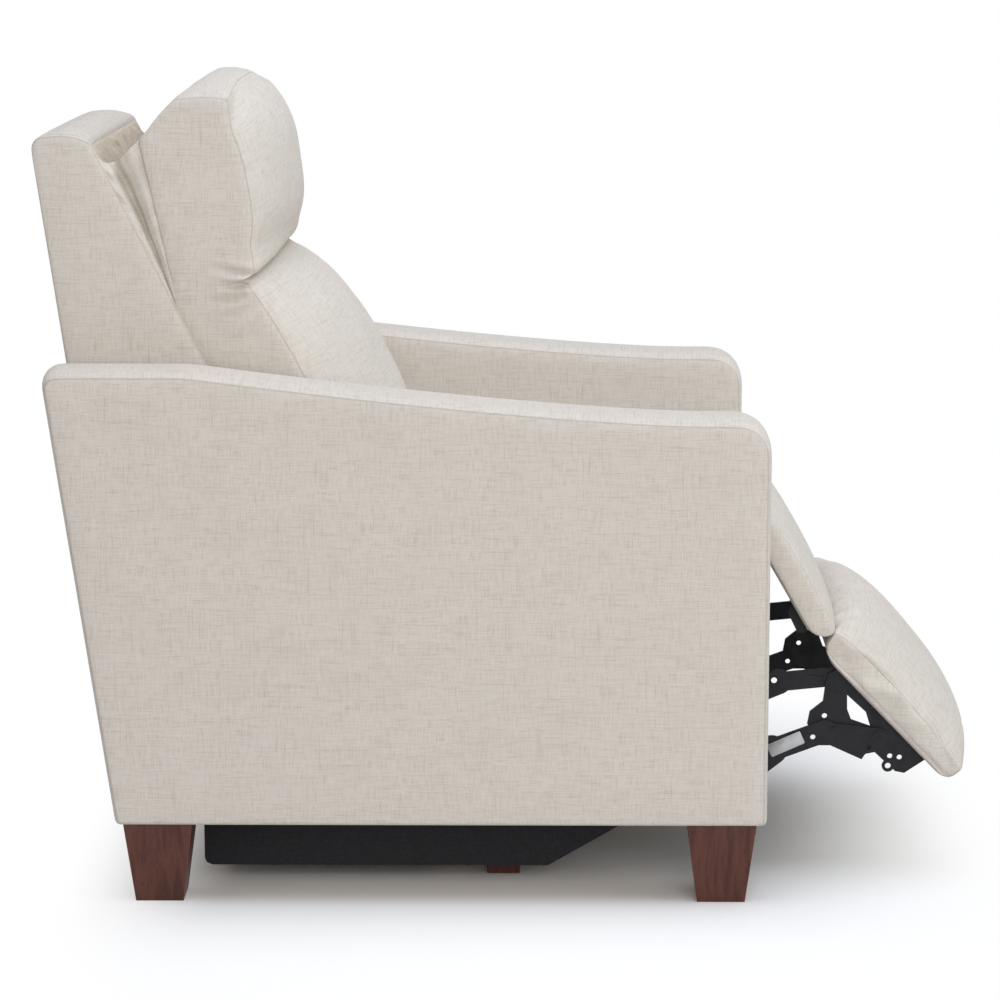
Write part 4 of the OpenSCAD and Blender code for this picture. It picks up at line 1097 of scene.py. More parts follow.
class Finish(Enum):
    """The finishes of the chair, by the record's slot."""

    LINEN = Cloth("linen", (0.705, 0.655, 0.592), (0.455, 0.392, 0.320), 640.0, 1.0, 0.45, 0.04)
    # The lining's finish is the linen darkened and browned: painted shade and warm bounce light under the
    # shell's padded top.
    LINING = Cloth("lining", (0.66, 0.575, 0.465), (0.43, 0.34, 0.245), 640.0, 1.0, 0.45, 0.04)
    BLACK_CLOTH = Cloth(
        "black_cloth", (0.024, 0.024, 0.028), (0.055, 0.055, 0.062), 1500.0, 0.8, 0.7, 0.05, False)
    WEBBING = Cloth("webbing", (0.050, 0.050, 0.052), (0.12, 0.12, 0.12), 1100.0, 1.4, 0.8, 0.10, False)
    FELT = Cloth("felt", (0.30, 0.30, 0.30), (0.20, 0.20, 0.20), 900.0, 0.8, 0.6, 0.25, False)
    WALNUT = Wood("walnut", (0.116, 0.040, 0.028), (0.064, 0.020, 0.014), 30.0, 0.46, 0.10)
    FRAME_WOOD = Wood("frame_wood", (0.62, 0.45, 0.28), (0.46, 0.31, 0.18), 24.0, 0.62, 0.0)
    BLACK_STEEL = Hard("black_steel", (0.018, 0.018, 0.021), (0.09, 0.09, 0.095), 0.45, 0.40, 620.0, 0.25)
    BRIGHT_STEEL = Hard("bright_steel", (0.52, 0.52, 0.54), (0.75, 0.75, 0.76), 1.0, 0.26, 500.0, 0.15)
    PANEL_PLASTIC = Hard("panel_plastic", (0.028, 0.028, 0.030), (0.08, 0.08, 0.08), 0.0, 0.48, 1500.0, 0.35)
    BUTTON_PLASTIC = Hard("button_plastic", (0.30, 0.30, 0.31), (0.45, 0.45, 0.46), 0.0, 0.34, 1200.0, 0.2)
    LABEL = Hard("label", (0.62, 0.63, 0.64), (0.72, 0.72, 0.72), 0.0, 0.45, 900.0, 0.1)


class Wardrobe:
    """Holds one material for each finish."""

    def __init__(self) -> None:
        """Make every finish's material once."""
        effects = Effects()
        self.made = {finish: finish.value.material(effects) for finish in Finish}

    def dress(self, obj: bpy.types.Object, finish: Finish) -> None:
        """Give a piece one finish.

        Args:
            obj: The piece.
            finish: The finish that it gets.
        """
        obj.data.materials.clear()
        obj.data.materials.append(self.made[finish])


class Body(Enum):
    """The bodies that new pieces ride on."""

    BASE = "base"
    BACK = "back"
    HEADREST = "headrest"
    FOOTREST = "footrest"
    LEG_PAD = "leg_pad"
    LOWER_LINKS = "lower_links"


def report(obj: bpy.types.Object, what: str) -> None:
    """Log one finished piece."""
    LOG.info("%s: %s, %d faces", obj.name, what, len(obj.data.polygons))


def upholster(obj: bpy.types.Object, wardrobe: Wardrobe, body: Body, node: str, fill: float, what: str) -> None:
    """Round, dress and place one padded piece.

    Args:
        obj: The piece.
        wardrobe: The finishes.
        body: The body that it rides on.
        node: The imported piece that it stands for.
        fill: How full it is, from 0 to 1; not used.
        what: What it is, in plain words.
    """
    subdivide(obj)
    wardrobe.dress(obj, Finish.LINEN)
    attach(obj, body.value)
    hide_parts(node)
    report(obj, what)


@dataclass
class Arms:
    """The two padded arms, with a sloping crowned top and a seam round each face."""

    inner: float = 266.0
    outer: float = 381.0
    front: float = -323.0
    foot: float = 105.0
    rear_foot: float = 517.0
    rake: float = 8.1
    low_top: float = 631.0
    rise: float = 61.0
    slope_front: float = -232.0
    slope_run: float = 652.0
    power: float = 1.4
    front_round: float = 42.0
    rear_round: float = 14.0
    crown: float = 6.0
    crown_power: float = 2.6
    wave: float = 0.7
    wave_scale: float = 0.009
    wave_from: float = 25.0
    face_steps: int = 48
    long_steps: int = 76
    front_arc: int = 16
    rear_arc: int = 10
    crest_steps: int = 60
    fill: float = 0.85

    def top(self, y: float) -> float:
        """Return the height of the top at a depth."""
        share = min(1.0, max(0.0, (y - self.slope_front) / self.slope_run))
        return self.low_top + self.rise * share ** self.power

    def rear(self, z: float) -> float:
        """Return the rear edge's depth at a height."""
        return self.rear_foot + (z - self.foot) * tan(self.rake)

    def sides(self, f: float) -> Sides:
        """Return the arm's outline at a share of its half width.

        Args:
            f: The share, 0 in the middle of the piece and 1 at its side seams.

        Returns:
            The rear, the top, the front and the foot, each as stretches with their steps.
        """
        grow = self.crown * (1 - abs(f) ** self.crown_power)
        edge = 0.5 * self.crown * (1 - abs(f) ** self.crown_power)
        r, rr = self.front_round + edge, self.rear_round
        front = self.front - edge
        high = self.low_top + self.rise
        rear_y = self.rear(high) + edge
        cy = front + r
        y1 = rear_y - rr
        arc = quarter((cy, self.top(cy) + grow - r), r, 90, self.front_arc)
        back_arc = quarter((y1, high + grow - rr), rr, 0, self.rear_arc)
        steps = self.crest_steps
        crest = [(y, self.top(y) + grow) for y in (mix(y1, cy, i / steps) for i in range(1, steps))]
        front_half, rear_half = self.front_arc // 2, self.rear_arc // 2
        foot_rear, foot_front = (self.rear(self.foot) + edge, self.foot), (front, self.foot)
        return (
            [([foot_rear, *back_arc[:rear_half + 1]], self.face_steps)],
            [([*back_arc[rear_half:], *crest, *arc[:front_half + 1]], self.long_steps)],
            [([*arc[front_half:], foot_front], self.face_steps)],
            [([foot_front, foot_rear], self.long_steps)],
        )

    def build(self, wardrobe: Wardrobe) -> None:
        """Make both arms.

        Args:
            wardrobe: The finishes.
        """
        half = (self.outer - self.inner) / 2
        middle = (self.outer + self.inner) / 2
        for side, word in SIDES_OF_CHAIR:
            form = PaddedForm("arm_cover_" + word, half, self.sides, pitch=12.0, dome=0.8, draw_in=3.0)
            obj = form.build()

            def settle(p: Vector) -> Vector:
                """Move the arm to its place, and let its faces wave a little."""
                wave = noise.noise(Vector((3.0 * side, p.y * self.wave_scale, p.z * self.wave_scale)))
                deep = smooth(0, self.wave_from, p.z - self.foot)
                toward = 1 if p.x > 0 else -1
                return Vector((side * middle + toward * self.wave * wave * deep, 0, 0))

            sculpt(obj, settle)
            upholster(obj, wardrobe, Body.BASE, "arm_" + word, self.fill, "padded arm")


@dataclass
class Seat:
    """The seat cushion between the arms."""

    half: float = 262.0
    held_below: float = 425.0
    plane: Plane = Plane((-296.9, 415.0), (1.0, 0.0), (0.0, 1.0))
    side: Section = Section(560, 90, 18, 45, 22, 45)
    middle: Section = Section(560, 103, 18, 45, 22, 45)
    steps: tuple[int, int] = (54, 10)
    fill: float = 0.7

    def build(self, wardrobe: Wardrobe) -> None:
        """Make the cushion.

        Args:
            wardrobe: The finishes.
        """
        obj = PaddedForm("seat_cushion_cover", self.half, cushion_sides(self, *self.steps)).build()
        Filling().fill(obj, lambda p: p.z < self.held_below)
        upholster(obj, wardrobe, Body.BASE, "seat_cushion", self.fill, "seat cushion")


def cushion_sides(piece: "Seat | FootPad | LegPad", along: int, end: int) -> Callable[[float], Sides]:
    """Return the four sides of a plain cushion as a function of the share of its half width.

    Args:
        piece: The cushion, with its plane and its two sections.
        along: Steps along the underside and the top.
        end: Steps over each end.

    Returns:
        The function.
    """
    near, far = 0.045, 0.955        # where the top starts and ends, as shares of the length
    low_cut, high_cut = 7, 5        # the steps of the rounded ends at which a side changes

    def sides(f: float) -> Sides:
        """Return the sides at a share of the half width.

        Args:
            f: The share, 0 in the middle of the piece and 1 at its side seams.

        Returns:
            The underside, the high end, the top and the low end, each as stretches with their steps.
        """
        c = piece.side.mixed(piece.middle, crown_share(f))
        low, high = c.low_line(), c.high_line()
        place = piece.plane.place
        return (
            [(place([*low[low_cut:], *c.under_line(), *high[:high_cut + 1]]), along)],
            [(place([*high[high_cut:], *c.top_line(1.0, far)[1:]]), end)],
            [(place(c.top_line(far, near)), along)],
            [(place([*c.top_line(near, 0.0), *low[:low_cut + 1]]), end)],
        )

    return sides


@dataclass
class FootPad:
    """The main footrest pad, deeply crowned, with boxed sides."""

    half: float = 258.5
    held_within: float = 6.0
    plane: Plane = Plane((-393.065, 314.573), (-0.69466, -0.71934), (-0.71934, 0.69466))
    side: Section = Section(253, 40, 36, 34, 16, 28, 0.06, 0)
    middle: Section = Section(257, 86, 44, 46, 16, 32, 0.22, 0)
    steps: tuple[int, int] = (34, 9)
    fill: float = 0.8

    def build(self, wardrobe: Wardrobe) -> None:
        """Make the pad.

        Args:
            wardrobe: The finishes.
        """
        sides = cushion_sides(self, *self.steps)
        obj = PaddedForm("footrest_pad_cover", self.half, sides, pitch=9.0, cap_seam=2).build()
        out = Vector((0, *self.plane.out))
        base = Vector((0, *self.plane.origin))
        Filling().fill(obj, lambda p: (p - base).dot(out) < self.held_within)
        upholster(obj, wardrobe, Body.FOOTREST, "footrest_pad", self.fill, "footrest pad")


@dataclass
class LegPad:
    """The short pad between the seat's front and the footrest."""

    half: float = 262.0
    plane: Plane = Plane((-294.93, 489.58), (-0.5, -0.8660), (-0.8660, 0.5))
    groove: Point = (206.0, 225.0)
    groove_depth: Point = (26.0, 13.0)
    groove_step: Point = (28.0, 44.0)
    groove_end: Point = (150.0, 165.0)
    side: Section = Section(197, 38, 12.5, 12.5, 30, 26, 0, 0)
    middle: Section = Section(197, 50, 12.5, 12.5, 30, 36, 0, 0)
    steps: tuple[int, int] = (24, 6)
    fill: float = 0.8

    def build(self, wardrobe: Wardrobe) -> None:
        """Make the pad.

        Args:
            wardrobe: The finishes.
        """
        sides = cushion_sides(self, *self.steps)
        obj = PaddedForm("leg_pad_cover", self.half, sides, pitch=10.0).build()
        self.make_room(obj)
        upholster(obj, wardrobe, Body.LEG_PAD, "leg_pad", self.fill, "leg pad")

    def make_room(self, obj: bpy.types.Object) -> None:
        """Press two grooves into the underside, where the seat's brackets meet it when the footrest folds.

        Args:
            obj: The pad.
        """
        out = Vector((0, *self.plane.out))
        along = Vector((0, *self.plane.along))
        base = Vector((0, *self.plane.origin))
        for v in obj.data.vertices:
            spot = in_drawing(v.co) - base
            s, t = spot.dot(along), spot.dot(out)
            depth = mix(*self.groove_depth, smooth(*self.groove_step, s)) * (1 - smooth(*self.groove_end, s))
            if self.groove[0] < abs(spot.x) < self.groove[1] and t < depth:
                v.co += out * (depth - t) * MM


@dataclass
class BackCushion:
    """The stuffed back and the headrest pillow, one cover shaped with a bend at the headrest's hinge."""

    half: float = 258.0
    lumbar: Plane = Plane((313.36, 520.0), (0.50953, 1.0), (-1.0, 0.0))
    head: Plane = Plane((439.0, 781.3), (0.21986, 1.0), (-1.0, 0.15838))
    low_side: Section = Section(279, 119, 12, 60, 8, 100, 0, 1.6)
    low_middle: Section = Section(304, 212, 12, 110, 28, 110, 0.02, 1.6)
    head_side: Section = Section(244, 122, 4, 6, 49, 53, -0.08, 0.71)
    head_middle: Section = Section(262, 171, 4, 6, 68, 86, -0.1, 0.71)
    side_fold: Point = (5.0, 105.0)
    middle_fold: Point = (24.0, 139.0)
    fold_depth: float = 26.0
    chin_slope: float = 0.39
    chin_fade: Point = (50.0, 110.0)
    side_corner: Point = (233.0, 121.0)
    middle_corner: Point = (249.0, 126.0)
    shoulder_bend: float = 0.72
    brow_start: float = 0.90
    brow_room: Point = (14.0, 6.0)
    crown_start: Point = (3.4, 13.0)
    crown_room: Point = (4.0, 6.0)
    front_end: float = 0.07
    rear_tuck: float = 5.0
    rear_end: float = 250.0
    board_low: float = 20.0
    board_top: float = 200.0
    low_steps: int = 46
    head_steps: int = 44
    end_steps: int = 18
    low_cut: int = 8
    high_cut: int = 5
    board_tuck: float = 4.5
    bend: Point = (-18.0, 26.0)
    bend_way: tuple[float, float, float] = (0.0, 0.158, 1.0)
    slack: float = 1.6
    slack_spread: Point = (770.0, 70.0)
    slack_sides: Point = (250.0, 180.0)
    slack_scale: Scale = (0.010, 0.012, 0.020)
    fine_scale: Scale = (0.022, 0.020, 0.055)
    fine_start: Scale = (7.0, 0.0, 0.0)
    pull_reach: float = 8.0
    pull_start: Point = (-0.15, 0.12)
    pull_end: Point = (0.35, 1.0)
    pull_swell: Point = (0.6, 2.0)
    fold_seam: float = 0.9
    fill: float = 0.75
    TUCK: ClassVar[tuple[Point, ...]] = ((8, 1.0), (3, -3), (0.6, -12))
    PULLS: ClassVar[tuple[tuple[Point, Point, float, float], ...]] = (
        ((336, 806), (404, 818), 9.0, 3.6),
        ((338, 797), (384, 789), 11.0, 4.2),
        ((350, 782), (404, 766), 8.0, 5.0),
        ((334, 770), (372, 744), 3.5, 7.0),
    )

    def sides(self, f: float) -> Sides:
        """Return the cover's outline at a share of its half width.

        Args:
            f: The share, 0 in the middle of the piece and 1 at its side seams.

        Returns:
            The rear, the pillow's top, the front and the foot, each as stretches with their steps.
        """
        k = crown_share(f)
        low = self.low_side.mixed(self.low_middle, k)
        head = self.head_side.mixed(self.head_middle, k)
        rear = [*low.low_line()[self.low_cut:], (self.rear_end, 0.0)]
        rear_low = self.lumbar.place([(s, t - self.rear_tuck) for s, t in rear])
        neck = self.head.at(-1.0, -self.rear_tuck)
        high = head.high_line()
        board = [(head.low_run + self.board_low, -self.board_tuck), (self.board_top, -self.board_tuck)]
        rear_high = [neck, *self.head.place([*board, *high[2:self.high_cut + 1]])]
        corner = mid(self.side_corner, self.middle_corner, k)
        top = self.head.place([*high[self.high_cut:], *self.shoulder(high[-1], corner)])
        fold = mid(self.side_fold, self.middle_fold, k)
        valley = self.head.at(fold[0] - 1.0, fold[1] - self.fold_depth)
        foot = [*low.top_line(self.front_end, 0.0), *low.low_line()[:self.low_cut + 1]]
        return (
            [([*rear_low, neck], self.low_steps), (rear_high, self.head_steps)],
            [(top, self.end_steps)],
            [([*self.brow(head, fold, corner, k), valley], self.head_steps),
             ([valley, *self.crown(low, fold)], self.low_steps)],
            [(self.lumbar.place(foot), self.end_steps)],
        )

    def shoulder(self, end: Point, corner: Point, steps: int = 8) -> Line:
        """Return the bend from the pillow's high end to its upper front corner.

        Args:
            end: Where the pillow's high end stops.
            corner: The upper front corner.
            steps: How many steps the bend has.

        Returns:
            The points after the end, up to the corner.
        """
        turn = (end[0] - 1.0, mix(end[1], corner[1], self.shoulder_bend))
        shares = [i / steps for i in range(1, steps + 1)]
        return [mid(mid(end, turn, q), mid(turn, corner, q), q) for q in shares]

    def brow(self, head: Section, fold: Point, corner: Point, k: float) -> Line:
        """Return the pillow's front from its upper corner down to where it folds under.

        Args:
            head: The pillow's section.
            fold: Where the front reaches lowest.
            corner: The upper front corner.
            k: The share of the middle's swelling.

        Returns:
            The line, as points of the side view.
        """
        chord = (corner[1] - fold[1]) / (corner[0] - fold[0])

        def full(p: Point) -> Point:
            """Return a front point, kept out to the pillow's front line near the seam and the fold.

            Args:
                p: The point, in the headrest's plane.

            Returns:
                The point, as it is or further out.
            """
            run_up = p[0] - fold[0]
            line = fold[1] + chord * run_up
            chin = fold[1] + self.chin_slope * k * run_up
            filled = p[1] + max(0.0, chin - p[1]) * (1 - smooth(*self.chin_fade, p[0]))
            return (p[0], max(filled, line))

        low, high = fold[0] + self.brow_room[0], corner[0] - self.brow_room[1]
        front = [full(p) for p in head.top_line(self.brow_start, 0.0) if low < p[0] < high]
        tuck = [(fold[0] + s, fold[1] + t) for s, t in self.TUCK]
        return self.head.place([corner, *front, *tuck])

    def crown(self, low: Section, fold: Point) -> Line:
        """Return the back cushion's front from the fold down.

        Args:
            low: The back cushion's section.
            fold: Where the pillow's front reaches lowest.

        Returns:
            The line, as points of the side view.
        """
        start = self.head.at(fold[0] - self.crown_start[0], fold[1] - self.crown_start[1])
        front = self.lumbar.place(low.top_line(1.0, self.front_end))
        y, z = start[0] - self.crown_room[0], start[1] + self.crown_room[1]
        return [start, *[p for p in front if p[0] < y and p[1] < z]]

    def pulls(self, p: Vector) -> Vector:
        """Return how the side cloth is drawn in along the creases that run back from the fold.

        Args:
            p: The point, in the drawing's millimetres.

        Returns:
            How far the point moves.
        """
        if abs(p.x) < self.half - self.pull_reach:
            return Vector((0, 0, 0))
        way = -1 if p.x > 0 else 1
        swell, apart = self.pull_swell
        depth = 0.0
        for (y0, z0), (y1, z1), deep, wide in self.PULLS:
            dy, dz = y1 - y0, z1 - z0
            length = math.hypot(dy, dz)
            k = ((p.y - y0) * dy + (p.z - z0) * dz) / length ** 2
            off = abs((p.y - y0) * dz - (p.z - z0) * dy) / length
            fade = smooth(*self.pull_start, k) * (1 - smooth(*self.pull_end, k))
            depth += deep * fade * math.exp(-(off / wide) ** 2)
            depth -= swell * deep * fade * math.exp(-((off - apart * wide) / wide) ** 2)
        return Vector((way * depth, 0, 0))

    def wrinkles(self, p: Vector) -> Vector:
        """Return the slack waves of the cover, stronger under the headrest.

        Args:
            p: The point, in the drawing's millimetres.

        Returns:
            How far the point moves.
        """
        near = math.exp(-((p.z - self.slack_spread[0]) / self.slack_spread[1]) ** 2)
        wave = noise.noise(Vector([c * scale for c, scale in zip(p, self.slack_scale)]))
        spot = [c * scale + start for c, scale, start in zip(p, self.fine_scale, self.fine_start)]
        fine = noise.noise(Vector(spot))
        front = smooth(*self.slack_sides, abs(p.x))
        return Vector((0, (self.slack * wave + self.slack * near * fine) * front, 0))

    def build(self, wardrobe: Wardrobe) -> None:
        """Make the cover, and find the two ends of the bend between the back and the headrest.

        Args:
            wardrobe: The finishes.
        """
        # The fold row between the back and the pillow also gets the seam mask, so painted shade darkens the
        # fold there.
        form = PaddedForm("back_and_headrest_cover", self.half, self.sides, pitch=9.0, draw_in=2.0,
                          seam_rows={self.low_steps: self.fold_seam}, end_seam=True)
        obj = form.build()
        sculpt(obj, self.pulls)
        sculpt(obj, self.wrinkles)
        subdivide(obj)
        wardrobe.dress(obj, Finish.LINEN)
        hinge = Vector((0, *self.head.origin))
        way = Vector(self.bend_way).normalized()
        start, end = ([c * MM for c in (hinge + way * s + Vector((0, SHIFT, 0)))] for s in self.bend)
        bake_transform(obj)
        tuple(start)
        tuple(end)
        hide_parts("back_cushion", "headrest_pillow")
        report(obj, "back cushion and headrest pillow")


@dataclass
class BackShell:
    """The upholstered shell: side wings, raked outer back and padded top, hollow in front."""

    half: float = 262.0
    wall: float = 14.0
    low: float = 245.0
    top: float = 986.0
    front: Point = (546.0, 976.0)
    wing_low: float = 450.0
    wing_lean: float = 27.0
    wing_across: tuple[float, ...] = (4.6, 2.6, 0.0, -2.6, -4.6)
    wing_crown: float = 1.2
    corner: float = 18.0
    rear_at: Point = (584.0, 692.0)
    rear_lean: float = 7.9
    rear_crown: float = 1.4
    padding: float = 2.0
    padding_crown: float = 4.5
    nose_out: Point = (2.0, 3.5)
    lip_over: float = 6.0
    lip_fall: float = 5.0
    inner_drop: float = 25.0
    long_steps: int = 64
    wing_steps: tuple[int, int] = (52, 12)
    arc_steps: int = 10
    top_steps: int = 14
    edge_steps: int = 5
    fill: float = 0.9

    def wing_front(self, z: float) -> float:
        """Return the wing's front edge at a height."""
        return self.front[0] - (self.front[1] - z) * tan(self.wing_lean)

    def outer(self, z: float) -> float:
        """Return the outer back's depth at a height."""
        return self.rear_at[0] + (z - self.rear_at[1]) * tan(self.rear_lean)

    def wing_sides(self, f: float) -> Sides:
        """Return one wing's outline at a share of its half thickness.

        Args:
            f: The share, 0 in the middle of the piece and 1 at its side seams.

        Returns:
            The rear, the padded top, the front and the foot, each as stretches with their steps.
        """
        grow = self.wing_crown * (1 - abs(f) ** 2)
        low, r = self.wing_low, self.corner
        arc = quarter((self.outer(self.top) - r, self.top + grow - r), r, 0, self.arc_steps)
        nose = (self.front[0] + self.nose_out[0], self.front[1] + self.nose_out[1] + grow)
        tall, wide = self.wing_steps
        half = self.arc_steps // 2
        foot_front, foot_rear = (self.wing_front(low), low), (self.outer(low), low)
        return (
            [([foot_rear, *arc[:half + 1]], tall)],
            [([*arc[half:], *self.lip(self.padding, grow), nose], wide)],
            [([nose, self.front, foot_front], tall)],
            [([foot_front, foot_rear], wide)],
        )

    def lip(self, swell_by: float, grow: float) -> Line:
        """Return the padded top from the rear corner to the front edge.

        Args:
            swell_by: How far the padding stands up in its middle.
            grow: How far the whole line is lifted.

        Returns:
            The line, as points of the side view.
        """
        rear = self.outer(self.top) - self.corner
        front = self.front[0] + self.lip_over
        return [
            (mix(rear, front, k), self.top + grow + swell_by * math.sin(math.pi * k) - self.lip_fall * k ** 3)
            for k in (i / self.arc_steps for i in range(1, self.arc_steps + 1))
        ]

    def rear_sides(self, f: float) -> Sides:
        """Return the outer back and the padded top as one bent slab.

        Args:
            f: The share, 0 in the middle of the piece and 1 at its side seams.

        Returns:
            The outer face with the padded top, the front edge, the inner face and the foot, each as
            stretches with their steps.
        """
        r, t = self.corner, self.wall
        share = 1 - abs(f) ** 4
        puff = self.rear_crown * share
        arc = quarter((self.outer(self.top) - r, self.top - r), r, 0, self.arc_steps, puff)
        lip = self.lip(self.padding + self.padding_crown * share, puff)
        inner = self.top - self.inner_drop
        inner_corner = (self.outer(inner) - t, inner)
        y, z = self.front
        under_lip = (y + 3, z - t)
        foot_rear, foot_inner = (self.outer(self.low), self.low), (self.outer(self.low) - t, self.low)
        return (
            [([foot_rear, arc[0]], self.long_steps), ([*arc, *lip], self.top_steps)],
            [([lip[-1], (y + 1, z + 2), (y - 0.5, z - 4), under_lip], self.edge_steps)],
            [([under_lip, inner_corner], self.top_steps), ([inner_corner, foot_inner], self.long_steps)],
            [([foot_inner, foot_rear], self.edge_steps)],
        )

    def build(self, wardrobe: Wardrobe) -> None:
        """Make the two wings and the outer back.

        Args:
            wardrobe: The finishes.
        """
        for side, word in SIDES_OF_CHAIR:
            obj = PaddedForm("back_wing_" + word, self.wall / 2, self.wing_sides, dome=0.3, draw_in=1.6,
                             across=self.wing_across).build()
            middle = side * (self.half - self.wall / 2)
            sculpt(obj, lambda p, m=middle: Vector((m, 0, 0)))
            upholster(obj, wardrobe, Body.BACK, "back_side_" + word, self.fill, "back wing")
        obj = PaddedForm("back_outer_cover", self.half - self.wall + 2.0, self.rear_sides, pitch=16.0,
                         dome=0.0, draw_in=0.0).build()
        upholster(obj, wardrobe, Body.BACK, "back_outer", self.fill, "outer back")


@dataclass
class RearPanel:
    """The fixed cloth panel under the moving back."""

    half: float = 266.0
    low: float = 105.0
    high: float = 235.0
    rear: float = 509.0
    lean: float = 8.1
    thick: float = 18.0
    rounding: float = 5.0
    steps: tuple[int, int] = (14, 4)
    fill: float = 0.9

    def sides(self, f: float) -> Sides:
        """Return the panel's outline, the same at every share of its half width.

        Args:
            f: The share, 0 in the middle of the piece and 1 at its side seams.

        Returns:
            The rear, the top, the front and the foot, each as stretches with their steps.
        """
        y, z = self.rear + (self.high - self.low) * tan(self.lean), self.high
        r, inner = self.rounding, self.thick
        foot, foot_inner = (self.rear, self.low), (self.rear - inner, self.low)
        edge, edge_inner = (y, z - r), (y - inner, z - r)
        tall, wide = self.steps
        return (
            [([foot, edge], tall)],
            [([edge, (y - r, z), (y - inner + r, z), edge_inner], wide)],
            [([edge_inner, foot_inner], tall)],
            [([foot_inner, foot], wide)],
        )

    def build(self, wardrobe: Wardrobe) -> None:
        """Make the panel."""
        obj = PaddedForm("rear_panel_cover", self.half, self.sides, pitch=16.0, dome=0.0, draw_in=0.5).build()
        upholster(obj, wardrobe, Body.BASE, "rear_panel", self.fill, "rear panel")


@dataclass
class Gusset:
    """The folded cloth on each side between the shell's front edge and the headrest."""

    shell_low: Point = (443.0, 766.0)
    pillow_low: Point = (440.0, 766.0)
    shell_top: Point = (548.0, 973.0)
    pillow_top: Point = (484.0, 985.0)
    dip: float = 27.0
    hinge_x: float = 256.0
    cut: Point = (110.0, 220.0)
    flat_width: float = 0.14
    gather: float = 1.02
    bow: float = 7.0
    folds: tuple[float, float, float] = (5.0, 2.5, 6.0)
    sway: float = 2.5
    tuck: float = 3.0
    bow_share: float = 0.3
    sag_shape: Point = (0.75, 1.2)
    flare: float = 0.7
    looseness: Point = (0.6, 0.5)
    wave_scale: Scale = (2.2, 0.020, 0.008)
    fine_scale: Point = (0.05, 0.06)
    ply_scale: Scale = (0.45, 0.034, 1.4)
    foot_gap: float = 0.02
    thickness: float = 0.0012
    # The seam mask on both sewn edges, painted shade where the gusset meets the wing and the pillow.
    seam: float = 0.8
    seam_width: float = 0.01
    bend: tuple[Point, Point] = ((500.0, 880.0), (470.0, 890.0))
    steps: tuple[int, int] = (30, 40)
    profile: Line = field(default_factory=lambda: [
        (0.0, 255.0), (0.08, 258.0), (0.22, 257.0), (0.30, 252.0), (0.38, 230.0), (0.46, 232.0), (0.58, 247.0),
        (0.76, 253.0), (0.90, 251.0), (1.0, 244.0)])

    def depth_across(self, u: float) -> float:
        """Return how far out the sheet lies at its top, at a share from the shell to the headrest.

        Args:
            u: The share.

        Returns:
            The distance from the chair's middle, in millimetres.
        """
        for (u0, x0), (u1, x1) in zip(self.profile, self.profile[1:]):
            if u <= u1:
                return mix(x0, x1, smooth(0, 1, (u - u0) / (u1 - u0)))
        return self.profile[-1][1]

    def place(self, u: float, v: float, side: int) -> Vector:
        """Return the sheet's point.

        Args:
            u: The share from the shell to the headrest.
            v: The share from the hinge up.
            side: -1 for the right, 1 for the left.

        Returns:
            The point, in the drawing's millimetres.
        """
        bow = self.bow * math.sin(math.pi * v)
        shell = mid(self.shell_low, self.shell_top, v)
        pillow = mid(self.pillow_low, self.pillow_top, v)
        y, z = mid(shell, (pillow[0] - self.tuck - bow * self.bow_share, pillow[1]), u)
        sag = self.dip * v ** 2 * max(0.0, math.sin(math.pi * u ** self.sag_shape[0])) ** self.sag_shape[1]
        x = mix(self.hinge_x, self.depth_across(u), v ** self.flare)
        across, down, slant = self.wave_scale
        wave = noise.noise(Vector((side * 3.0 + u * across, (y + z) * down, (z - y) * slant)))
        fine = noise.noise(Vector((side * 9.0, y * self.fine_scale[0], z * self.fine_scale[1])))
        loose = v ** self.looseness[0] * math.sin(math.pi * u) ** self.looseness[1]
        lean, down, across = self.ply_scale
        ply = noise.noise(Vector((side * 5.0, (y * lean + z) * down, u * across)))
        deep = sum(size * way for size, way in zip(self.folds, (wave, fine, ply))) * loose
        return Vector((side * (x + deep), y + self.sway * wave * loose, z - sag))

    def build(self, wardrobe: Wardrobe) -> None:
        """Make both gussets.

        Args:
            wardrobe: The finishes.
        """
        for side, word in SIDES_OF_CHAIR:
            obj, area = thin_cloth(
                "headrest_gusset_" + word, self.steps, self.cut, self.thickness,
                place=lambda u, w: self.place(u, mix(self.foot_gap, 1.0, w), side),
                sewn=lambda u, w: self.seam if u < self.seam_width or u > 1 - self.seam_width else 0.0,
                turned=side > 0)
            subdivide(obj)
            wardrobe.dress(obj, Finish.LINEN)
            start, end = (Vector((0, y + SHIFT, z)) * MM for y, z in self.bend)
            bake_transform(obj)
            report(obj, "folded gusset")


def thin_cloth(name: str, steps: tuple[int, int], cut: Point, thickness: float,
               place: Callable[[float, float], Vector], sewn: Callable[[float, float], float],
               turned: bool = False) -> tuple[bpy.types.Object, float]:
    """Make one thin cloth from a grid.

    Args:
        name: The piece's name.
        steps: Its cells across and along.
        cut: Its width and height for the weave, in millimetres.
        thickness: Its thickness, in metres.
        place: Gives the cloth's point at a share across it and a share up it.
        sewn: Gives the seam mask there.
        turned: Whether its faces are turned over.

    Returns:
        The piece, and its area in square metres.
    """
    bm = bmesh.new()
    bmesh.ops.create_grid(bm, x_segments=steps[0], y_segments=steps[1], size=0.5)
    seam = bm.verts.layers.float.new("seam")
    uv = bm.loops.layers.uv.new("cloth")
    for face in bm.faces:
        for loop in face.loops:
            loop[uv].uv = (loop.vert.co.x * cut[0] * MM, loop.vert.co.y * cut[1] * MM)
    for v in bm.verts:
        u, w = v.co.x + 0.5, v.co.y + 0.5
        v[seam] = sewn(u, w)
        v.co = place(u, w)
    if turned:
        bmesh.ops.reverse_faces(bm, faces=bm.faces)
    area = sum(f.calc_area() for f in bm.faces) * MM * MM
    obj = as_object(bm, name)
    wall = obj.modifiers.new("wall", "SOLIDIFY")
    wall.thickness = thickness
    wall.offset = 0
    return obj, area


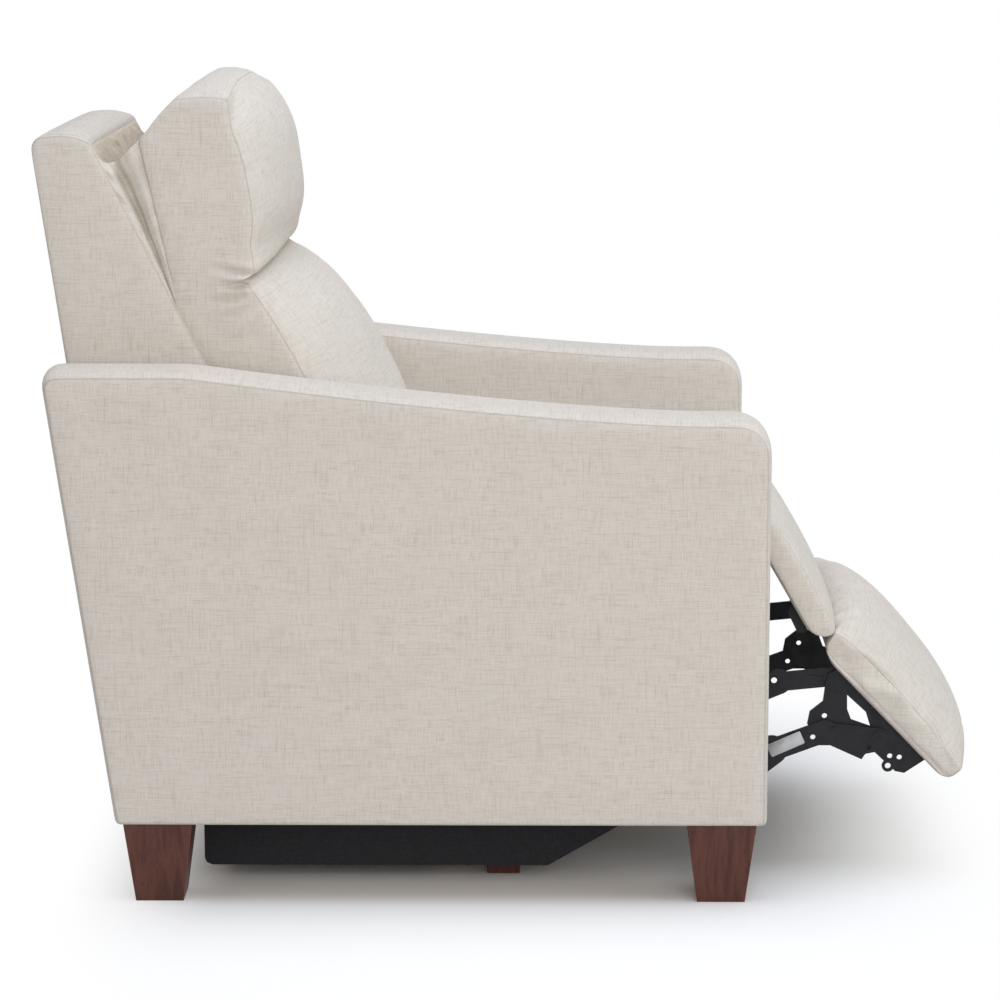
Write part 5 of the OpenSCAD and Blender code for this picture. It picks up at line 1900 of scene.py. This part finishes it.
@dataclass
class ShellLining:
    """The cloth stretched inside the shell, from the padded top down over the upper rail."""

    half: float = 254.0
    edge_tuck: float = 6.0
    top: Point = (546.6, 974.0)
    low: float = 884.0
    lean: float = 27.0
    loose: Point = (922.0, 944.0)
    ripple: float = 2.0
    crinkle: float = 13.0
    side_fade: float = 0.4
    top_fade: Point = (0.9, 1.0)
    tuck_fade: Point = (0.95, 1.0)
    wave_scale: Point = (0.012, 0.03)
    fold_scale: Point = (0.032, 0.011)
    steps: tuple[int, int] = (100, 24)

    def place(self, u: float, v: float) -> Vector:
        """Return the lining's point at a share across it and a share up it.

        Args:
            u: The share across it.
            v: The share up it.

        Returns:
            The point, in the drawing's millimetres.
        """
        x = mix(-self.half, self.half, u)
        z = mix(self.low, self.top[1], v)
        free = 1 - smooth(*self.top_fade, v)
        loose = smooth(*self.loose, z) * math.sin(math.pi * u) ** self.side_fade * free
        wave = noise.noise(Vector((x * self.wave_scale[0], z * self.wave_scale[1], 4.0)))
        fold = noise.noise(Vector(((x + z) * self.fold_scale[0], (z - x) * self.fold_scale[1], 8.0)))
        tuck = self.edge_tuck * smooth(*self.tuck_fade, abs(2 * u - 1))
        rise = (self.ripple * abs(wave) + self.crinkle * abs(fold)) * loose
        return Vector((x, self.top[0] - (self.top[1] - z) * tan(self.lean) - rise + tuck, z))

    def build(self, wardrobe: Wardrobe) -> None:
        """Make the lining.

        Args:
            wardrobe: The finishes.
        """
        height = (self.top[1] - self.low) / math.cos(math.radians(self.lean))
        # The lining gets the linen darkened and browned, painted shade and warm bounce light under the padded
        # top.
        hang("shell_lining", self.place, (2 * self.half, height), self.steps,
             wardrobe, Finish.LINING)


@dataclass
class CreviceCloth:
    """The cloth that hangs from the back cushion's underside behind the seat and hides the back's foot."""

    half: float = 246.0
    line: tuple[Point, ...] = ((271.5, 400.0), (273.0, 425.0), (278.0, 450.0), (284.5, 470.0), (294.5, 491.0),
                               (308.5, 520.0), (317.5, 538.0))
    steps: tuple[int, int] = (48, 18)

    def place(self, u: float, v: float) -> Vector:
        """Return the cloth's point at a share across it and a share up it.

        Args:
            u: The share across it.
            v: The share up it.

        Returns:
            The point, in the drawing's millimetres.
        """
        spot = min(v * (len(self.line) - 1), len(self.line) - 1.001)
        below, above = self.line[int(spot)], self.line[int(spot) + 1]
        return Vector((mix(-self.half, self.half, u), *mid(below, above, spot % 1)))

    def build(self, wardrobe: Wardrobe) -> None:
        """Make the cloth.

        Args:
            wardrobe: The finishes.
        """
        height = sum(math.dist(a, b) for a, b in zip(self.line, self.line[1:]))
        hang("crevice_cloth", self.place, (2 * self.half, height), self.steps,
             wardrobe)


def hang(name: str, place: Callable[[float, float], Vector], size: Point, steps: tuple[int, int],
         wardrobe: Wardrobe, finish: Finish = Finish.LINEN) -> None:
    """Make one cloth of the back, held along its edges.

    Args:
        name: The piece's name.
        place: Gives the cloth's point at a share across it and a share up it.
        size: Its width and height when flat, in millimetres.
        steps: Its cells across and along.
        wardrobe: The finishes.
        finish: The one it gets.
    """
    # The top hem gets the seam mask, painted shade where the cloth meets the part above it.
    thickness, seam, hem, slack = 0.001, 0.7, 0.99, 1.01
    obj, area = thin_cloth(name, steps, size, thickness, place, sewn=lambda u, w: seam if w > hem else 0.0)
    wardrobe.dress(obj, finish)
    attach(obj, Body.BACK.value)
    report(obj, name.replace("_", " "))


@dataclass
class LabelPlate:
    """The small bare plate on the outer face of the right lower link."""

    centre: Point = (-357.0, 181.0)
    length: float = 48.0
    width: float = 18.0
    tilt: float = -24.0
    x: float = -235.3
    thick: float = 0.4
    corner: float = 2.0

    def build(self, wardrobe: Wardrobe) -> None:
        """Make the plate.

        Args:
            wardrobe: The finishes.
        """
        bm = bmesh.new()
        bmesh.ops.create_cube(bm, size=1.0)
        bmesh.ops.scale(bm, vec=(self.thick, self.length, self.width), verts=bm.verts)
        corners_along = [e for e in bm.edges if abs(e.verts[0].co.x - e.verts[1].co.x) > 0.1]
        bmesh.ops.bevel(bm, geom=corners_along, offset=self.corner, segments=3, affect="EDGES",
                        profile=0.5, material=-1)
        turn = Matrix.Rotation(math.radians(self.tilt), 3, "X")
        bmesh.ops.rotate(bm, cent=(0, 0, 0), matrix=turn, verts=bm.verts)
        bmesh.ops.translate(bm, vec=(self.x, *self.centre), verts=bm.verts)
        obj = as_object(bm, "bare_plate")
        wardrobe.dress(obj, Finish.LABEL)
        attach(obj, Body.LOWER_LINKS.value)
        report(obj, "bare plate")


class Hardware:
    """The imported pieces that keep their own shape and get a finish."""

    ROUNDED: ClassVar[dict[str, float]] = {
        "walnut": 1.6, "frame_wood": 1.5, "black_cloth": 2.5, "black_steel": 0.5, "panel_plastic": 0.8,
        "button_plastic": 0.5, "felt": 0.8}
    WELD: ClassVar[float] = 0.00001
    SHARP: ClassVar[float] = 40.0

    def build(self, wardrobe: Wardrobe) -> None:
        """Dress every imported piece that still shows.

        Args:
            wardrobe: The finishes.
        """
        finishes = {finish.value.name: finish for finish in Finish}
        for name, obj in sorted(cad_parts.items()):
            if obj.hide_render:
                continue
            slot = obj.data.materials[0].name.split(".")[0]
            wardrobe.dress(obj, finishes[slot])
            if slot in self.ROUNDED:
                self.round_edges(obj, self.ROUNDED[slot])
            report(obj, "packed piece in " + slot)

    def round_edges(self, obj: bpy.types.Object, width: float) -> None:
        """Join the loose triangles and break the sharp edges.

        Args:
            obj: The piece.
            width: How wide each broken edge is, in millimetres.
        """
        weld = obj.modifiers.new("weld", "WELD")
        weld.merge_threshold = self.WELD
        bevel = obj.modifiers.new("edges", "BEVEL")
        bevel.width = width * MM
        bevel.segments = 2
        bevel.limit_method = "ANGLE"
        bevel.angle_limit = math.radians(self.SHARP)
        bevel.harden_normals = False


@dataclass
class Studio:
    """The floor, the lights and the camera."""

    location: tuple[float, float, float] = (-4.7487, -0.019, 1.2965)
    pitch: float = 9.898
    yaw: float = 0.517
    lens: float = 125.86
    sensor: float = 36.0
    sight: float = 60.0
    floor_lift: float = 0.24
    shade_half: float = 0.38
    side_fade: float = 0.55
    shade_rear: float = 0.36
    rear_fade: float = 0.24
    shade_front: float = 0.34
    front_fade: float = 0.37
    floor_half: float = 12000.0
    floor_grey: float = 0.80
    surround: float = 0.42
    LAMPS: ClassVar[tuple[tuple, ...]] = (
        ("top_lamp", (-0.5, -0.4, 3.6), (0.0, 0.0, 0.4), 3.2, 61.0, (0.80, 0.87, 1.0)),
        ("side_lamp", (-4.6, -0.6, 2.1), (0.0, 0.0, 0.5), 3.4, 65.0, (1.0, 0.975, 0.94)),
        ("front_lamp", (-0.8, -4.0, 2.2), (0.0, 0.0, 0.5), 2.8, 35.0, (0.92, 0.965, 1.0)),
    )

    def build(self) -> None:
        """Make the floor, three lights, the world and the camera."""
        self.floor()
        self.lights()
        self.world()
        self.camera()

    def floor(self) -> None:
        """Make a pale floor that shows white where nothing shades it."""
        bm = bmesh.new()
        bmesh.ops.create_grid(bm, x_segments=1, y_segments=1, size=self.floor_half)
        obj = as_object(bm, "floor")
        made, g, shader = new_material("floor")
        g.feed(shader, {"Base Color": (*[self.floor_grey] * 3, 1), "Roughness": 1.0, "Specular IOR Level": 0.0})
        place = g.node("SeparateXYZ", {}, {0: g.node("TexCoord").outputs["Object"]}).outputs
        sideways = self.beyond(g, g.math("ABSOLUTE", place[0]), self.shade_half, self.side_fade)
        behind = self.beyond(g, place[1], self.shade_rear, self.rear_fade)
        before = self.beyond(g, g.math("MULTIPLY", place[1], -1.0), self.shade_front, self.front_fade)
        along = g.math("MAXIMUM", behind, before)
        squares = [g.math("MULTIPLY", way, way) for way in (sideways, along)]
        away = g.step(g.math("SQRT", g.math("ADD", *squares)), 0.0, 1.0)
        lift = g.node("BsdfDiffuse", {}, {"Color": (*[self.floor_lift] * 3, 1)})
        near = g.node("AddShader", {}, {0: shader.outputs[0], 1: lift.outputs[0]})
        white = g.node("Emission", {}, {"Color": (1, 1, 1, 1), "Strength": 1.0})
        shown = g.node("MixShader", {}, {0: away, 1: near.outputs[0], 2: white.outputs[0]})
        choice = g.node("MixShader", {}, {0: g.seen(), 1: shader.outputs[0], 2: shown.outputs[0]})
        out = next(n for n in g.tree.nodes if n.type == "OUTPUT_MATERIAL")
        g.feed(out, {"Surface": choice.outputs[0]})
        obj.data.materials.append(made)
        obj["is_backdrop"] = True

    def beyond(self, g: Graph, place: Socket, edge: float, width: float) -> Socket:
        """Return how far a place lies past an edge of the shaded floor, in widths of its fade."""
        return g.math("MAXIMUM", g.math("DIVIDE", g.math("SUBTRACT", place, edge), width), 0.0)

    def lights(self) -> None:
        """Make the large lamps above the chair, by the camera and in front of the chair."""
        for name, place, aim, size, power, colour in self.LAMPS:
            data = bpy.data.lights.new(name, "AREA")
            data.shape = "DISK"
            data.size = size
            data.energy = power
            data.color = colour
            obj = bpy.data.objects.new(name, data)
            obj.location = place
            obj.rotation_euler = (Vector(aim) - Vector(place)).to_track_quat("-Z", "Y").to_euler()
            bpy.context.scene.collection.objects.link(obj)

    def world(self) -> None:
        """Make a soft white surround, fully white to the camera."""
        world = bpy.data.worlds.new("surround")
        world.use_nodes = True
        g = Graph(world.node_tree)
        ground = next(n for n in g.tree.nodes if n.type == "BACKGROUND")
        g.feed(ground, {"Color": (1, 1, 1, 1), "Strength": g.either(g.seen(), self.surround, 1.0)})
        bpy.context.scene.world = world

    def camera(self) -> None:
        """Make the camera where the photograph was taken from."""
        data = bpy.data.cameras.new("camera")
        data.lens = self.lens
        data.sensor_width = self.sensor
        data.clip_end = self.sight
        obj = bpy.data.objects.new("camera", data)
        p, w = math.radians(self.pitch), math.radians(self.yaw)
        ahead = Vector((math.cos(p) * math.cos(w), math.cos(p) * math.sin(w), -math.sin(p)))
        obj.location = Vector(self.location) + Vector((0, SHIFT * MM, 0))
        obj.rotation_euler = ahead.to_track_quat("-Z", "Y").to_euler()
        bpy.context.scene.collection.objects.link(obj)
        bpy.context.scene.camera = obj


def corners(box: tuple[Vector, Vector]) -> list[list[float]]:
    """Return a box as plain lists of numbers."""
    return [[round(c, 5) for c in corner] for corner in box]


def main() -> None:
    """Build the chair's cover, finishes and studio in order."""
    logging.basicConfig(level=logging.INFO, format="%(name)s %(message)s")
    packed = corners(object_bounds())
    wardrobe = Wardrobe()
    parts = (Arms, Seat, FootPad, LegPad, BackCushion, BackShell, RearPanel, Gusset, ShellLining,
             CreviceCloth, LabelPlate, Hardware)
    for part in parts:
        part().build(wardrobe)
    Studio().build()
    bpy.context.scene.view_settings.view_transform = "Standard"
    bpy.context.view_layer.update()
    {"packed": packed, "dressed": corners(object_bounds())}


if __name__ == "__main__":
    main()
